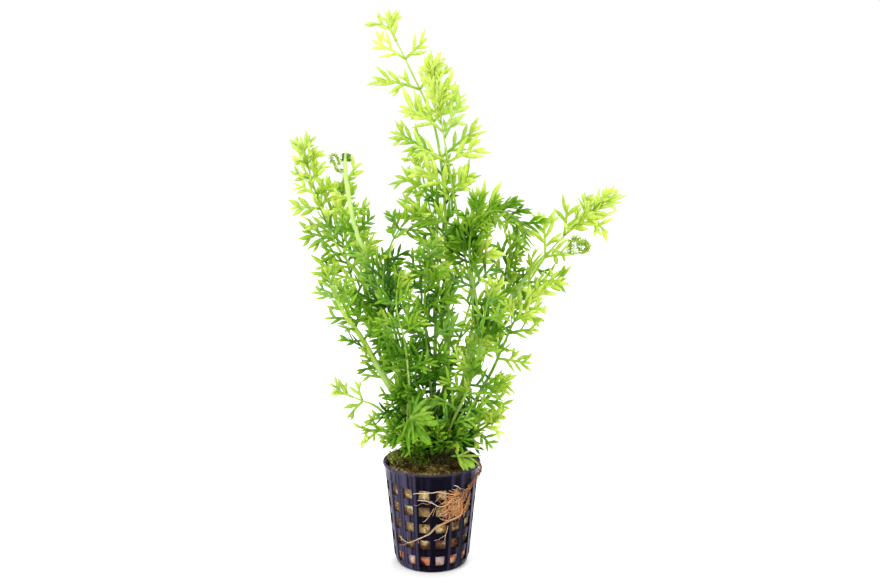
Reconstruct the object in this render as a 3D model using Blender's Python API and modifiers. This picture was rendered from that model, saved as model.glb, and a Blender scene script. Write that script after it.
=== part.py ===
# Water sprite, a finely divided aquarium fern, growing from a rockwool plug in a black net pot.
# Metres, +Z up, origin at the middle of the pot's underside. The front of the plant faces -Y.

import math
from typing import NamedTuple

import bmesh
import bpy
import numpy as np
from mathutils import Matrix, Vector, noise
from mathutils.geometry import interpolate_bezier

MM = 0.001
GAP = 0.35 * MM

# Net pot
POT_HEIGHT = 55.0 * MM
FOOT_RADIUS = 19.0 * MM
BAND_RADIUS = 24.4 * MM
RIM_RADIUS = 25.5 * MM
WALL = 1.2 * MM
LIP_HEIGHT = 1.2 * MM
FOOT_ROUNDING = 2.0 * MM
COLUMNS = 16
WINDOW_SHARE = 0.58
WINDOW_ROWS = 5
FIRST_WINDOW = 3.6 * MM
WINDOW_PITCH = 9.2 * MM
WINDOW_HEIGHT = 5.6 * MM
FLOOR_SLOT = (6.0 * MM, 14.0 * MM)
FRONT_WINDOW_TURN = -9.6

# Rockwool plug and the rootstock on it
WOOL_TOP = 56.0 * MM
WOOL_SHOULDER = 51.5 * MM
WOOL_SEGMENTS = 18
WOOL_ROUGHNESS = 0.35 * MM
CROWN_RADIUS = 11.2 * MM
CROWN_HEIGHT = 8.0 * MM
CROWN_SEGMENTS = 14
INNER_RING = 4.2 * MM
OUTER_RING = 9.2 * MM

# Fronds
STALK_WIDTH = 2.7 * MM
STALK_TAPER = 0.4
MIDRIB_WIDTH = 1.3 * MM
BLADE_THICKNESS = 0.8 * MM
STALK_STEP = 28.0 * MM
STALK_ROOT = 4.0 * MM
CURL_STEP = 6.0 * MM
PINNA_BASE = 2.2 * MM
PINNA_WIDTH = 1.8 * MM
PINNA_ANGLE = 52.0
LOBE_ANGLE = 44.0
LOBE_SHARE = 0.48
SMALLEST_PINNA = 5.0 * MM
THREE_LOBES_FROM = 10.0 * MM
FIVE_LOBES_FROM = 21.5 * MM
PINNA_DROOP = 0.12
ROUTE_STEPS = 12
# A pinna has a lean of its own. It leans by further angles, and then shortens to these shares of its
# length, until it is clear of its neighbours.
NATURAL_LEANS = (26, -20, 12, -32)
LEANS = (0, 24, -24, 48, -48, 70, -70)
SHORTENINGS = (1.0, 0.8, 0.62, 0.45)
STALK_REACH = 1.9 * MM
BLADE_REACH = 1.0 * MM
OWN_BASE_REACH = 5.0 * MM
SAMPLE_STEP = 1.6 * MM

# Roots
BUNDLE_RADIUS = 1.4 * MM
STRAND_RADIUS = 0.62 * MM
THIN_RADIUS = 0.42 * MM
ROOT_STEP = 4.5 * MM

LIME = (0.45, 0.72, 0.06)
FRESH = (0.22, 0.52, 0.05)
GREEN = (0.10, 0.33, 0.04)
DEEP = (0.04, 0.17, 0.03)

class Frond(NamedTuple):
    """A frond: where it leaves the crown, its course, and its leaflets."""

    name: str
    ring: float  # radius of the crown's ring that it grows from
    turn: float  # place on that ring in degrees from the front, towards +X
    points: tuple  # points of its stalk and midrib in mm
    leafy: tuple  # shares of its length between which it carries leaflets
    pairs: int
    reach: float  # longest leaflet in mm
    facing: tuple  # the way that its blade faces
    colour: tuple
    breadth: float = 1.0  # how much wider than usual its leaflets are


WHOLE_TIP = 0.965
FRONDS = (
    Frond("frond_tall", 0.0, 0, ((4, 1, 82), (8, 3, 104), (8, 6, 154), (6, 8, 198), (1, 9, 229), (-10, 10, 254),
          (-24, 10, 282)), (0.46, WHOLE_TIP), 7, 27, (0.2, -1.0, 0.3), FRESH),
    Frond("frond_bright", INNER_RING, 77, ((10, -3, 80), (15, -6, 95), (21, -9, 135), (15, -6, 172),
          (10, -5, 201), (4, -4, 236), (0, -2, 260)), (0.48, WHOLE_TIP), 7, 25, (-0.2, -1.0, 0.2), LIME),
    Frond("frond_arching", INNER_RING, 26, ((8, -8, 80), (18, -13, 104), (23, -15, 132), (19, -12, 164),
          (21, -14, 181), (30, -20, 188), (40, -25, 186), (47, -28, 176)), (0.56, WHOLE_TIP), 5, 19,
          (0.3, -0.8, 0.5), GREEN),
    Frond("frond_right", INNER_RING, 128, ((9, 3, 79), (14, 5, 90), (21, 8, 107), (33, 12, 126), (50, 12, 147),
          (62, 10, 165), (80, 5, 184), (91, 2, 194)), (0.48, WHOLE_TIP), 6, 23, (-0.4, -0.9, 0.4), LIME),
    Frond("frond_right_curled", OUTER_RING, 135, ((13, 11, 78), (20, 16, 96), (38, 21, 131), (54, 21, 153),
          (64, 22, 163), (73, 23, 166), (79, 24, 161), (76, 24, 155), (71, 24, 158)), (0.50, 0.74), 3, 15,
          (-0.5, -0.8, 0.3), FRESH),
    Frond("frond_right_back", OUTER_RING, 157.5, ((11, 15, 76), (22, 23, 95), (33, 29, 115), (38, 31, 137),
          (40, 29, 155), (46, 27, 168)), (0.46, WHOLE_TIP), 4, 23, (-0.3, -0.8, 0.6), GREEN),
    Frond("frond_right_inner", OUTER_RING, 90, ((19, -4, 78), (24, -13, 94), (30, -19, 107), (37, -23, 125),
          (42, -23, 136), (54, -19, 152)), (0.42, WHOLE_TIP), 5, 21, (-0.2, -1.0, 0.4), GREEN),
    Frond("frond_right_low", OUTER_RING, 67.5, ((19, -8, 70), (27, -12, 76), (35, -15, 84)), (0.40, WHOLE_TIP), 3,
          13, (0.0, -0.8, 0.7), LIME),
    Frond("frond_right_side", OUTER_RING, 112.5, ((17, 5, 72), (25, 7, 82), (32, 9, 90), (40, 10, 99)),
          (0.36, WHOLE_TIP), 4, 15, (0.0, -0.7, 0.8), GREEN),
    Frond("frond_left", OUTER_RING, -112.5, ((-14, 7, 82), (-24, 12, 120), (-37, 14, 148), (-49, 13, 166),
          (-58, 11, 190), (-66, 9, 221)), (0.45, WHOLE_TIP), 6, 23, (0.4, -0.9, 0.3), FRESH),
    Frond("frond_left_back", OUTER_RING, -135, ((-15, 14, 90), (-30, 23, 119), (-41, 27, 142), (-47, 27, 167),
          (-47, 24, 197)), (0.48, WHOLE_TIP), 4, 20, (0.3, -0.9, 0.3), GREEN),
    Frond("frond_left_curled", INNER_RING, -128, ((-7, 1, 80), (-14, -2, 101), (-22, -6, 128), (-32, -9, 161),
          (-38, -9, 179), (-42, -8, 202), (-42, -8, 212), (-39, -8, 216), (-36, -8, 212), (-38, -8, 208)),
          (0.62, 0.84), 3, 13, (0.2, -1.0, 0.2), FRESH),
    Frond("frond_left_low", INNER_RING, -77, ((-10, -5, 76), (-17, -12, 91), (-26, -18, 108), (-35, -22, 126),
          (-45, -23, 141), (-52, -20, 160)), (0.48, WHOLE_TIP), 5, 22, (0.3, -0.9, 0.4), GREEN),
    Frond("frond_left_rim", OUTER_RING, -67.5, ((-18, -9, 74), (-27, -14, 87), (-36, -17, 92), (-48, -19, 98)),
          (0.45, WHOLE_TIP), 3, 14, (0.2, -0.8, 0.6), LIME),
    Frond("frond_left_side", OUTER_RING, -90, ((-18, -1, 69), (-27, -3, 72), (-37, -5, 72)), (0.36, WHOLE_TIP), 3,
          12, (0.1, -0.7, 0.8), GREEN),
    Frond("frond_front_thin", OUTER_RING, -45, ((-12, -17, 80), (-11, -26, 102), (-13, -30, 125), (-17, -29, 143),
          (-15, -25, 160)), (0.52, WHOLE_TIP), 4, 18, (0.0, -1.0, 0.3), FRESH),
    Frond("frond_front_broad", OUTER_RING, -22.5, ((-6, -17, 80), (-9, -27, 91), (-10, -33, 89), (-11, -37, 80),
          (-11, -38, 67)), (0.52, 0.93), 3, 12, (-0.1, -1.0, 0.2), LIME, 2.6),
    Frond("frond_front", OUTER_RING, 0, ((0, -15, 86), (-1, -20, 108), (-3, -21, 130), (-3, -19, 152),
          (0, -18, 174)), (0.38, WHOLE_TIP), 5, 25, (0.1, -1.0, 0.3), DEEP),
    Frond("frond_front_right", OUTER_RING, 22.5, ((10, -19, 80), (18, -27, 100), (23, -31, 120), (26, -31, 138),
          (30, -29, 156)), (0.42, WHOLE_TIP), 4, 20, (0.2, -1.0, 0.2), FRESH),
    Frond("frond_over_rim", OUTER_RING, 45, ((13, -14, 67), (17, -21, 64), (21, -26, 57)), (0.42, WHOLE_TIP), 2,
          9, (0.3, -0.7, 0.6), GREEN),
    Frond("frond_middle", INNER_RING, -26, ((-6, -10, 82), (-12, -14, 104), (-19, -16, 130), (-24, -16, 152),
          (-20, -13, 170), (-13, -10, 181), (-5, -7, 188)), (0.42, WHOLE_TIP), 5, 24, (-0.1, -1.0, 0.4), DEEP),
    Frond("frond_back", INNER_RING, 180, ((1, 12, 84), (2, 24, 120), (3, 33, 156), (-2, 38, 186), (-8, 40, 212)),
          (0.40, WHOLE_TIP), 6, 26, (0.1, 0.9, 0.4), GREEN),
    Frond("frond_back_right", OUTER_RING, 180, ((5, 20, 78), (12, 34, 102), (20, 46, 126), (25, 53, 148)),
          (0.36, WHOLE_TIP), 4, 23, (0.2, 0.7, 0.7), FRESH),
    Frond("frond_back_left", OUTER_RING, -157.5, ((-9, 19, 78), (-15, 32, 104), (-23, 43, 130), (-29, 48, 158)),
          (0.36, WHOLE_TIP), 4, 24, (-0.2, 0.8, 0.6), GREEN),
)

# Each root: name, thickness, and the points that it lies along as the turn on the pot in degrees from
# the front, the height in mm and the clearance from the wall in mm.
ROOTS = (
    ("root_upper", STRAND_RADIUS, ((36, 43.9, 0.4), (27, 43.6, 0.3), (11, 45.6, 0.3), (-6, 45.2, 0.3),
     (-23, 44.2, 0.3))),
    ("root_middle", STRAND_RADIUS, ((36, 41.6, 0.4), (26, 41.3, 0.3), (18, 38.2, 0.5), (9, 38.0, 0.5),
     (-3, 40.5, 0.3), (-17, 41.0, 0.3))),
    ("root_long", STRAND_RADIUS, ((40, 39.4, 0.4), (41, 32.0, 0.4), (27, 29.6, 0.4), (8, 26.8, 0.4),
     (-3, 22.6, 0.4), (-17, 20.0, 0.4), (-34, 16.4, 0.3), (-50, 18.4, 0.3))),
    ("root_right", STRAND_RADIUS, ((55, 42.6, 0.4), (51, 38.0, 0.4), (47, 34.0, 0.4), (46, 29.5, 0.3))),
    ("root_thin_middle", THIN_RADIUS, ((3, 36.9, 0.4), (-3, 32.6, 0.3), (-10, 29.2, 0.3))),
    ("root_thin_low", THIN_RADIUS, ((22, 26.6, 0.3), (20, 22.6, 0.3), (18, 18.4, 0.3))),
    ("root_loop", THIN_RADIUS, ((27, 48.8, 0.3), (33, 47.6, 0.4), (37, 45.6, 0.5))),
)


def remove_everything():
    for thing in list(bpy.data.objects):
        bpy.data.objects.remove(thing, do_unlink=True)


def plain_material(name, colour, roughness):
    material = bpy.data.materials.new(name)
    material.use_nodes = True
    shader = material.node_tree.nodes["Principled BSDF"]
    shader.inputs["Base Color"].default_value = (*colour, 1.0)
    shader.inputs["Roughness"].default_value = roughness
    shader.inputs["Metallic"].default_value = 0.0
    return material


def object_from(mesh, name, material, collection):
    data = bpy.data.meshes.new(name)
    bmesh.ops.recalc_face_normals(mesh, faces=mesh.faces)
    mesh.to_mesh(data)
    mesh.free()
    data.materials.append(material)
    thing = bpy.data.objects.new(name, data)
    collection.objects.link(thing)
    return thing


def around(radius, turn, height):
    """The point at this radius and height, turned from the front towards +X by so many degrees."""
    angle = math.radians(turn)
    return Vector((radius * math.sin(angle), -radius * math.cos(angle), height))


def wall_radius(height):
    """Outer radius of the pot's wall at this height, its lip left out."""
    return FOOT_RADIUS + (BAND_RADIUS - FOOT_RADIUS) * height / POT_HEIGHT


def window_rows():
    rows = [FIRST_WINDOW + row * WINDOW_PITCH for row in range(WINDOW_ROWS)]
    return [(low, low + WINDOW_HEIGHT) for low in rows]


def pot_profile():
    """Radius and height along the outside of the pot, from its floor up to its lip."""
    slot_start, slot_end = FLOOR_SLOT
    profile = [(slot_start, 0.0), (slot_end, 0.0), (FOOT_RADIUS - FOOT_ROUNDING, 0.0)]
    for row in window_rows():
        profile += [(wall_radius(height), height) for height in row]
    lip_start = POT_HEIGHT - 1.8 * LIP_HEIGHT
    profile.append((wall_radius(lip_start), lip_start))
    profile.append((RIM_RADIUS, POT_HEIGHT - 0.7 * LIP_HEIGHT))
    profile.append((RIM_RADIUS, POT_HEIGHT))
    return profile


def is_window(face):
    centre = face.calc_center_median()
    return any(low < centre.z < high for low, high in window_rows())


def is_floor_slot(face):
    centre = face.calc_center_median()
    return centre.z < GAP and FLOOR_SLOT[0] < centre.xy.length < FLOOR_SLOT[1]


def net_pot(collection):
    mesh = bmesh.new()
    pitch = 360.0 / COLUMNS
    window = pitch * WINDOW_SHARE
    first = FRONT_WINDOW_TURN - window / 2
    outline = [mesh.verts.new(around(radius, first, height)) for radius, height in pot_profile()]
    edges = [mesh.edges.new(pair) for pair in zip(outline, outline[1:])]
    openings = []
    for index in range(2 * COLUMNS):
        turn = window if index % 2 == 0 else pitch - window
        known = set(mesh.faces)
        grown = bmesh.ops.extrude_edge_only(mesh, edges=edges)["geom"]
        verts = [part for part in grown if isinstance(part, bmesh.types.BMVert)]
        edges = [part for part in grown if isinstance(part, bmesh.types.BMEdge)]
        edges = [edge for edge in edges if all(vert in verts for vert in edge.verts)]
        spin = Matrix.Rotation(math.radians(turn), 3, "Z")
        bmesh.ops.rotate(mesh, verts=verts, cent=(0, 0, 0), matrix=spin)
        new_faces = [face for face in mesh.faces if face not in known]
        if index % 2 == 0:
            openings += filter(is_window, new_faces)
        if index % 4 == 0:
            openings += filter(is_floor_slot, new_faces)
    bmesh.ops.remove_doubles(mesh, verts=mesh.verts, dist=0.01 * MM)
    hub = [edge for edge in mesh.edges if edge.is_boundary and is_hub(edge)]
    bmesh.ops.contextual_create(mesh, geom=hub)
    bmesh.ops.delete(mesh, geom=openings, context="FACES")
    pot = object_from(mesh, "pot", plain_material("PotPlastic", (0.008, 0.008, 0.014), 0.35), collection)
    solidify = pot.modifiers.new("Wall", "SOLIDIFY")
    solidify.thickness = WALL
    solidify.offset = -1.0
    solidify.use_even_offset = True
    return pot


def is_hub(edge):
    """True for an edge of the closed disc in the middle of the pot's floor."""
    middle = (edge.verts[0].co + edge.verts[1].co) / 2
    return middle.z < GAP and all(vert.co.xy.length < FLOOR_SLOT[0] + GAP for vert in edge.verts)


def turned(profile, segments):
    """A closed mesh turned about Z from a profile that starts and ends on the axis."""
    mesh = bmesh.new()
    verts = [mesh.verts.new((radius, 0.0, height)) for radius, height in profile]
    edges = [mesh.edges.new(pair) for pair in zip(verts, verts[1:])]
    bmesh.ops.spin(
        mesh, geom=verts + edges, cent=(0, 0, 0), axis=(0, 0, 1), angle=math.tau, steps=segments, use_merge=True
    )
    bmesh.ops.remove_doubles(mesh, verts=mesh.verts, dist=0.01 * MM)
    return mesh


def rockwool(collection):
    inner_share = math.cos(math.radians(180.0 / COLUMNS * WINDOW_SHARE))
    clearance = WALL + GAP + WOOL_ROUGHNESS
    floor = WALL + GAP
    foot = floor + FOOT_ROUNDING
    profile = [(0.0, floor), (FOOT_RADIUS - FOOT_ROUNDING - WALL, floor)]
    for height in (foot, WOOL_SHOULDER / 2, WOOL_SHOULDER):
        profile.append((wall_radius(height) * inner_share - clearance, height))
    profile += [(CROWN_RADIUS + 1.5 * MM, WOOL_TOP - 0.6 * MM), (0.0, WOOL_TOP - 0.6 * MM)]
    mesh = turned(profile, WOOL_SEGMENTS)
    for vert in mesh.verts:
        if floor + GAP < vert.co.z < WOOL_TOP - 2 * MM:
            swell = noise.noise(vert.co * 300.0) * WOOL_ROUGHNESS
            vert.co.xy *= 1.0 + swell / vert.co.xy.length
    wool = object_from(mesh, "rockwool", plain_material("Rockwool", (0.42, 0.32, 0.17), 0.95), collection)
    wool.data.shade_smooth()
    return wool


def crown_height(radius):
    """Height of the crown's domed top above the plug at this radius."""
    return CROWN_HEIGHT * math.sqrt(max(0.0, 1.0 - (radius / CROWN_RADIUS) ** 2))


def crown(collection):
    profile = [(0.0, WOOL_TOP), (CROWN_RADIUS, WOOL_TOP)]
    for share in (0.96, 0.82, 0.6, 0.35, 0.0):
        radius = share * CROWN_RADIUS
        profile.append((radius, WOOL_TOP + crown_height(radius)))
    stock = object_from(
        turned(profile, CROWN_SEGMENTS), "crown", plain_material("Crown", (0.10, 0.14, 0.04), 0.8), collection
    )
    stock.data.shade_smooth()
    return stock


def smooth_route(points):
    """Closely spaced points on a smooth curve through the given ones."""
    ends = [points[0] * 2 - points[1], *points, points[-1] * 2 - points[-2]]
    route = []
    for before, start, end, after in zip(ends, ends[1:], ends[2:], ends[3:]):
        leaving = start + (end - before) / 6
        arriving = end - (after - start) / 6
        route += interpolate_bezier(start, leaving, arriving, end, ROUTE_STEPS)[:-1]
    route.append(points[-1])
    return route


class Route:
    """A smooth curve that can be asked for its place and direction at any share of its length."""

    def __init__(self, points):
        self.points = smooth_route(points)
        steps = [(b - a).length for a, b in zip(self.points, self.points[1:])]
        self.lengths = [0.0]
        for step in steps:
            self.lengths.append(self.lengths[-1] + step)
        self.length = self.lengths[-1]

    def at(self, share):
        wanted = min(max(share, 0.0), 1.0) * self.length
        index = max(i for i, length in enumerate(self.lengths[:-1]) if length <= wanted)
        start, end = self.points[index], self.points[index + 1]
        part = (wanted - self.lengths[index]) / (end - start).length
        return start.lerp(end, part)

    def direction(self, share):
        near = 0.02
        return (self.at(share + near) - self.at(share - near)).normalized()


def frond_route(plant):
    """The stalk's curve: out of the crown square to its surface, then through the frond's points."""
    rise = crown_height(plant.ring)
    base = around(plant.ring, plant.turn, WOOL_TOP + rise)
    outward = around(plant.ring / CROWN_RADIUS**2, plant.turn, rise / CROWN_HEIGHT**2).normalized()
    start = base + outward * (GAP + 0.2 * MM)
    return Route([start, start + outward * STALK_ROOT, *(Vector(point) * MM for point in plant.points)])


def blade_axes(route, share, facing):
    """Direction, sideways and facing unit vectors of the blade at this share of the frond."""
    forward = route.direction(share)
    across = forward.cross(facing).normalized()
    return forward, across, across.cross(forward).normalized()


def pinna_places(plant):
    """Share of the frond's length, side and length of each pinna, from the lowest to the tip."""
    places = []
    first, last = plant.leafy
    for index in range(plant.pairs):
        rank = index / (plant.pairs - 1)
        share = first + (last - first) * rank**0.85
        length = plant.reach * MM * (0.6 + 0.4 * math.sin(math.pi * (0.3 + rank * 0.7)))
        length *= 1.0 - 0.45 * rank**1.5
        places.append((share, 1, length))
        places.append((share, -1, length * 0.93))
    return places


class Pinna:
    """One leaflet's plan: its midrib, its lobes' tips, and how far it leans out of the frond's plane."""

    def __init__(self, route, plant, share, side, length, lean):
        self.share = share
        self.side = side
        self.breadth = plant.breadth
        forward, across, normal = blade_axes(route, share, Vector(plant.facing))
        angle = math.radians(PINNA_ANGLE)
        tilt = math.radians(lean)
        sideways = across * side * math.cos(tilt) + normal * math.sin(tilt)
        self.along = (forward * math.cos(angle) + sideways * math.sin(angle)).normalized()
        self.wide = (forward - self.along * forward.dot(self.along)).normalized()
        self.base = route.at(share)
        self.length = length
        self.stations, self.lobed = self.ribs()
        self.tip = self.place(1.0)
        self.lobes = self.lobe_tips()

    def place(self, share):
        """A point on the midrib, which droops a little towards its tip."""
        return self.base + self.length * (self.along * share - Vector((0, 0, PINNA_DROOP)) * share**2)

    def ribs(self):
        """Shares of the length where the midrib is divided, and which of its stretches carry a pair of lobes."""
        if self.length >= FIVE_LOBES_FROM:
            return (0.36, 0.58, 0.78), (1, 2)
        if self.length >= THREE_LOBES_FROM:
            return (0.42, 0.72), (1,)
        return (), ()

    def lobe_tips(self):
        """The tip of each lobe, by the stretch of midrib and the side that it grows from."""
        tips = {}
        angle = math.radians(LOBE_ANGLE)
        for stretch in self.lobed:
            middle = (self.stations[stretch - 1] + self.stations[stretch]) / 2
            size = self.length * LOBE_SHARE * (1.15 - 0.5 * middle)
            for side in (1, -1):
                reach = self.along * math.cos(angle) + self.wide * side * math.sin(angle)
                tips[stretch, side] = self.place(middle) + reach * size
        return tips

    def samples(self):
        """Points spread over the leaflet, for telling whether it is clear of its neighbours."""
        lines = [(self.base + self.along * 2 * MM, self.tip)]
        for (stretch, _), tip in self.lobes.items():
            lines.append((self.place(self.stations[stretch - 1]), tip))
            lines.append((self.place(self.stations[stretch]), tip))
        return [point for start, end in lines for point in spaced(start, end)]


def spaced(start, end):
    count = max(1, round((end - start).length / SAMPLE_STEP))
    return [start.lerp(end, index / count) for index in range(count + 1)]


class Crowd:
    """Where everything that has grown so far is, with how far it reaches round each point."""

    def __init__(self):
        self.owners = np.zeros(0, int)
        self.points = np.zeros((0, 3))
        self.reaches = np.zeros(0)

    def add(self, owner, points, reach):
        self.owners = np.append(self.owners, np.full(len(points), owner))
        self.points = np.vstack([self.points, np.array(points)])
        self.reaches = np.append(self.reaches, np.full(len(points), reach))

    def clear_of(self, owner, points, base):
        """Whether a leaflet of this owner would touch nothing, its own frond near its base left out."""
        near_base = np.linalg.norm(self.points - np.array(base), axis=1) < OWN_BASE_REACH
        others = ~((self.owners == owner) & near_base)
        apart = np.linalg.norm(np.array(points)[:, None] - self.points[others][None], axis=2)
        return bool((apart > self.reaches[others] + BLADE_REACH).all())


def above_the_pot(points):
    """Whether all the points are clear of the rim, the wall and what stands in the pot."""
    lowest = POT_HEIGHT + 4 * MM
    outside = RIM_RADIUS + 2 * MM
    return all(point.z > lowest or point.xy.length > outside for point in points)


def grown_pinnae(owner, route, plant, crowd):
    """Every leaflet that finds room, each leaning or staying short where its neighbours are close."""
    found = []
    for number, (share, side, length) in enumerate(pinna_places(plant)):
        natural = NATURAL_LEANS[number % len(NATURAL_LEANS)]
        options = [(lean, short) for short in SHORTENINGS for lean in LEANS]
        for lean, short in options:
            if length * short < SMALLEST_PINNA:
                continue
            pinna = Pinna(route, plant, share, side, length * short, natural + lean)
            points = pinna.samples()
            if above_the_pot(points) and crowd.clear_of(owner, points, pinna.base):
                crowd.add(owner, points, BLADE_REACH)
                found.append(pinna)
                break
    return found


def extruded(mesh, edge, middle, across, width):
    """A new edge grown from this one, centred on middle and as wide as said. Returns it and the new face."""
    known = set(edge.link_faces)
    centre = (edge.verts[0].co + edge.verts[1].co) / 2
    grown = bmesh.ops.extrude_edge_only(mesh, edges=[edge])["geom"]
    verts = [part for part in grown if isinstance(part, bmesh.types.BMVert)]
    for vert in verts:
        side = 1 if (vert.co - centre).dot(across) > 0 else -1
        vert.co = middle + across * side * width / 2
    far = next(link for link in verts[0].link_edges if verts[1] in link.verts)
    face = next(face for face in edge.link_faces if face not in known)
    return far, face


def pointed(mesh, edge, tip):
    """A triangle grown from this edge to a point."""
    grown = bmesh.ops.extrude_edge_only(mesh, edges=[edge])["geom"]
    verts = [part for part in grown if isinstance(part, bmesh.types.BMVert)]
    bmesh.ops.pointmerge(mesh, verts=verts, merge_co=tip)


def side_edges(face, near, far, across):
    """The two edges of a strip's quad between its ends, keyed by the side that they are on."""
    centre = face.calc_center_median()
    found = {}
    for edge in face.edges:
        if edge not in (near, far):
            middle = (edge.verts[0].co + edge.verts[1].co) / 2
            found[1 if (middle - centre).dot(across) > 0 else -1] = edge
    return found


def grow_leaflet(mesh, edge, pinna):
    """Extrudes one leaflet from the side of the frond's midrib."""
    for stretch, share in enumerate(pinna.stations):
        width = PINNA_WIDTH * pinna.breadth * (1.1 - 0.5 * share)
        far, face = extruded(mesh, edge, pinna.place(share), pinna.wide, width)
        sides = side_edges(face, edge, far, pinna.wide)
        for side in (1, -1):
            if (stretch, side) in pinna.lobes:
                pointed(mesh, sides[side], pinna.lobes[stretch, side])
        edge = far
    pointed(mesh, edge, pinna.tip)


def stalk_width(share, plant):
    """Width of the stalk, which is thickest at the crown and thins out into the midrib."""
    bare = plant.leafy[0]
    if share < bare:
        return STALK_WIDTH * (1.0 - STALK_TAPER * share / bare)
    rest = (share - bare) / (1.0 - bare)
    return MIDRIB_WIDTH * plant.breadth * (1.3 - 0.8 * rest)


def frond_stations(route, plant, pinnae):
    """Shares of the length where the strip is divided: the bends of the stalk, the ends of each pinna's base."""
    first, last = plant.leafy
    root = STALK_ROOT / route.length
    half = PINNA_BASE * plant.breadth / 2 / route.length
    bends = max(2, round(first * route.length / STALK_STEP))
    shares = [0.0] + [root + (first * 0.97 - root) * index / bends for index in range(bends + 1)]
    for share in sorted({pinna.share for pinna in pinnae}):
        shares += [share - half, share + half]
    curl = round((WHOLE_TIP - last) * route.length / CURL_STEP)
    shares += [last + (1.0 - last) * index / (curl + 1) for index in range(1, curl + 1)]
    return shares


def frond(owner, plant, crowd, collection):
    route = crowd.routes[owner]
    facing = Vector(plant.facing)
    pinnae = grown_pinnae(owner, route, plant, crowd)
    shares = frond_stations(route, plant, pinnae)
    mesh = bmesh.new()
    _, across, _ = blade_axes(route, 0.0, facing)
    half = across * stalk_width(0.0, plant) / 2
    edge = mesh.edges.new([mesh.verts.new(route.at(0.0) - half), mesh.verts.new(route.at(0.0) + half)])
    for last, share in zip(shares, shares[1:]):
        _, across, _ = blade_axes(route, share, facing)
        far, face = extruded(mesh, edge, route.at(share), across, stalk_width(share, plant))
        sides = side_edges(face, edge, far, across)
        for pinna in pinnae:
            if last < pinna.share < share:
                grow_leaflet(mesh, sides[pinna.side], pinna)
        edge = far
    pointed(mesh, edge, route.at(1.0))
    material = plain_material(f"Leaf_{plant.name}", plant.colour, 0.5)
    thing = object_from(mesh, plant.name, material, collection)
    thicken(thing, route, plant)
    return thing


def thicken(thing, route, plant):
    """Gives the sheet its thickness: full in the stalk, and thin in the blade."""
    stalk = thing.vertex_groups.new(name="stalk")
    for vert in thing.data.vertices:
        nearest = min(range(len(route.points)), key=lambda i: (route.points[i] - vert.co).length)
        share = route.lengths[nearest] / route.length
        if (route.points[nearest] - vert.co).length < STALK_WIDTH and share < plant.leafy[0]:
            stalk.add([vert.index], stalk_width(share, plant) / STALK_WIDTH, "REPLACE")
    solidify = thing.modifiers.new("Thickness", "SOLIDIFY")
    solidify.thickness = STALK_WIDTH
    solidify.offset = 0.0
    solidify.vertex_group = stalk.name
    solidify.thickness_vertex_group = BLADE_THICKNESS / STALK_WIDTH


def fronds(collection):
    crowd = Crowd()
    crowd.routes = [frond_route(plant) for plant in FRONDS]
    for owner, (route, plant) in enumerate(zip(crowd.routes, FRONDS)):
        count = round(route.length / SAMPLE_STEP)
        shares = [index / count for index in range(count + 1)]
        crowd.add(owner, [route.at(share) for share in shares if share < plant.leafy[0]], STALK_REACH)
        crowd.add(owner, [route.at(share) for share in shares if share >= plant.leafy[0]], BLADE_REACH)
    return [frond(owner, plant, crowd, collection) for owner, plant in enumerate(FRONDS)]


def root_curve(name, radius, points, material, collection):
    """A round root along the given points, as a tube with closed ends."""
    route = Route(points)
    count = max(3, round(route.length / ROOT_STEP))
    data = bpy.data.curves.new(name, "CURVE")
    data.dimensions = "3D"
    data.bevel_depth = radius
    data.bevel_resolution = 1 if radius > THIN_RADIUS else 0
    data.use_fill_caps = True
    spline = data.splines.new("POLY")
    spline.points.add(count)
    for index, point in enumerate(spline.points):
        share = index / count
        point.co = (*route.at(share), 1.0)
        point.radius = 1.0 - 0.45 * share**2
    data.materials.append(material)
    thing = bpy.data.objects.new(name, data)
    collection.objects.link(thing)
    return thing


def roots(collection):
    material = plain_material("Root", (0.33, 0.10, 0.03), 0.6)
    over_rim = ((13.4, 66, 57.6), (19.5, 68, 58.8), (24.6, 69, 58.3), (27.8, 69, 55.8))
    bundle = [around(radius * MM, turn, height * MM) for radius, turn, height in over_rim]
    for turn, height, clearance in ((68, 52.8, 2.0), (64, 49.8, 0.8), (56, 46.6, 0.5), (43, 43.0, 0.5)):
        bundle.append(beside_wall(turn, height * MM, clearance * MM + BUNDLE_RADIUS))
    root_curve("root_bundle", BUNDLE_RADIUS, bundle, material, collection)
    for name, radius, places in ROOTS:
        points = [beside_wall(turn, high * MM, gap * MM + radius) for turn, high, gap in places]
        root_curve(name, radius, points, material, collection)


def beside_wall(turn, height, distance):
    """A point this far outside the pot's wall."""
    return around(wall_radius(height) + distance, turn, height)


def main():
    remove_everything()
    collection = bpy.data.collections.new("WaterSprite")
    bpy.context.scene.collection.children.link(collection)
    net_pot(collection)
    rockwool(collection)
    crown(collection)
    fronds(collection)
    roots(collection)


main()
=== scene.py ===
# Water sprite in a net pot: looks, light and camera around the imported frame.
import math
import random

import bmesh
import bpy
import numpy as np
from mathutils import Matrix, Vector, noise
from mathutils.geometry import interpolate_bezier


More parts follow.
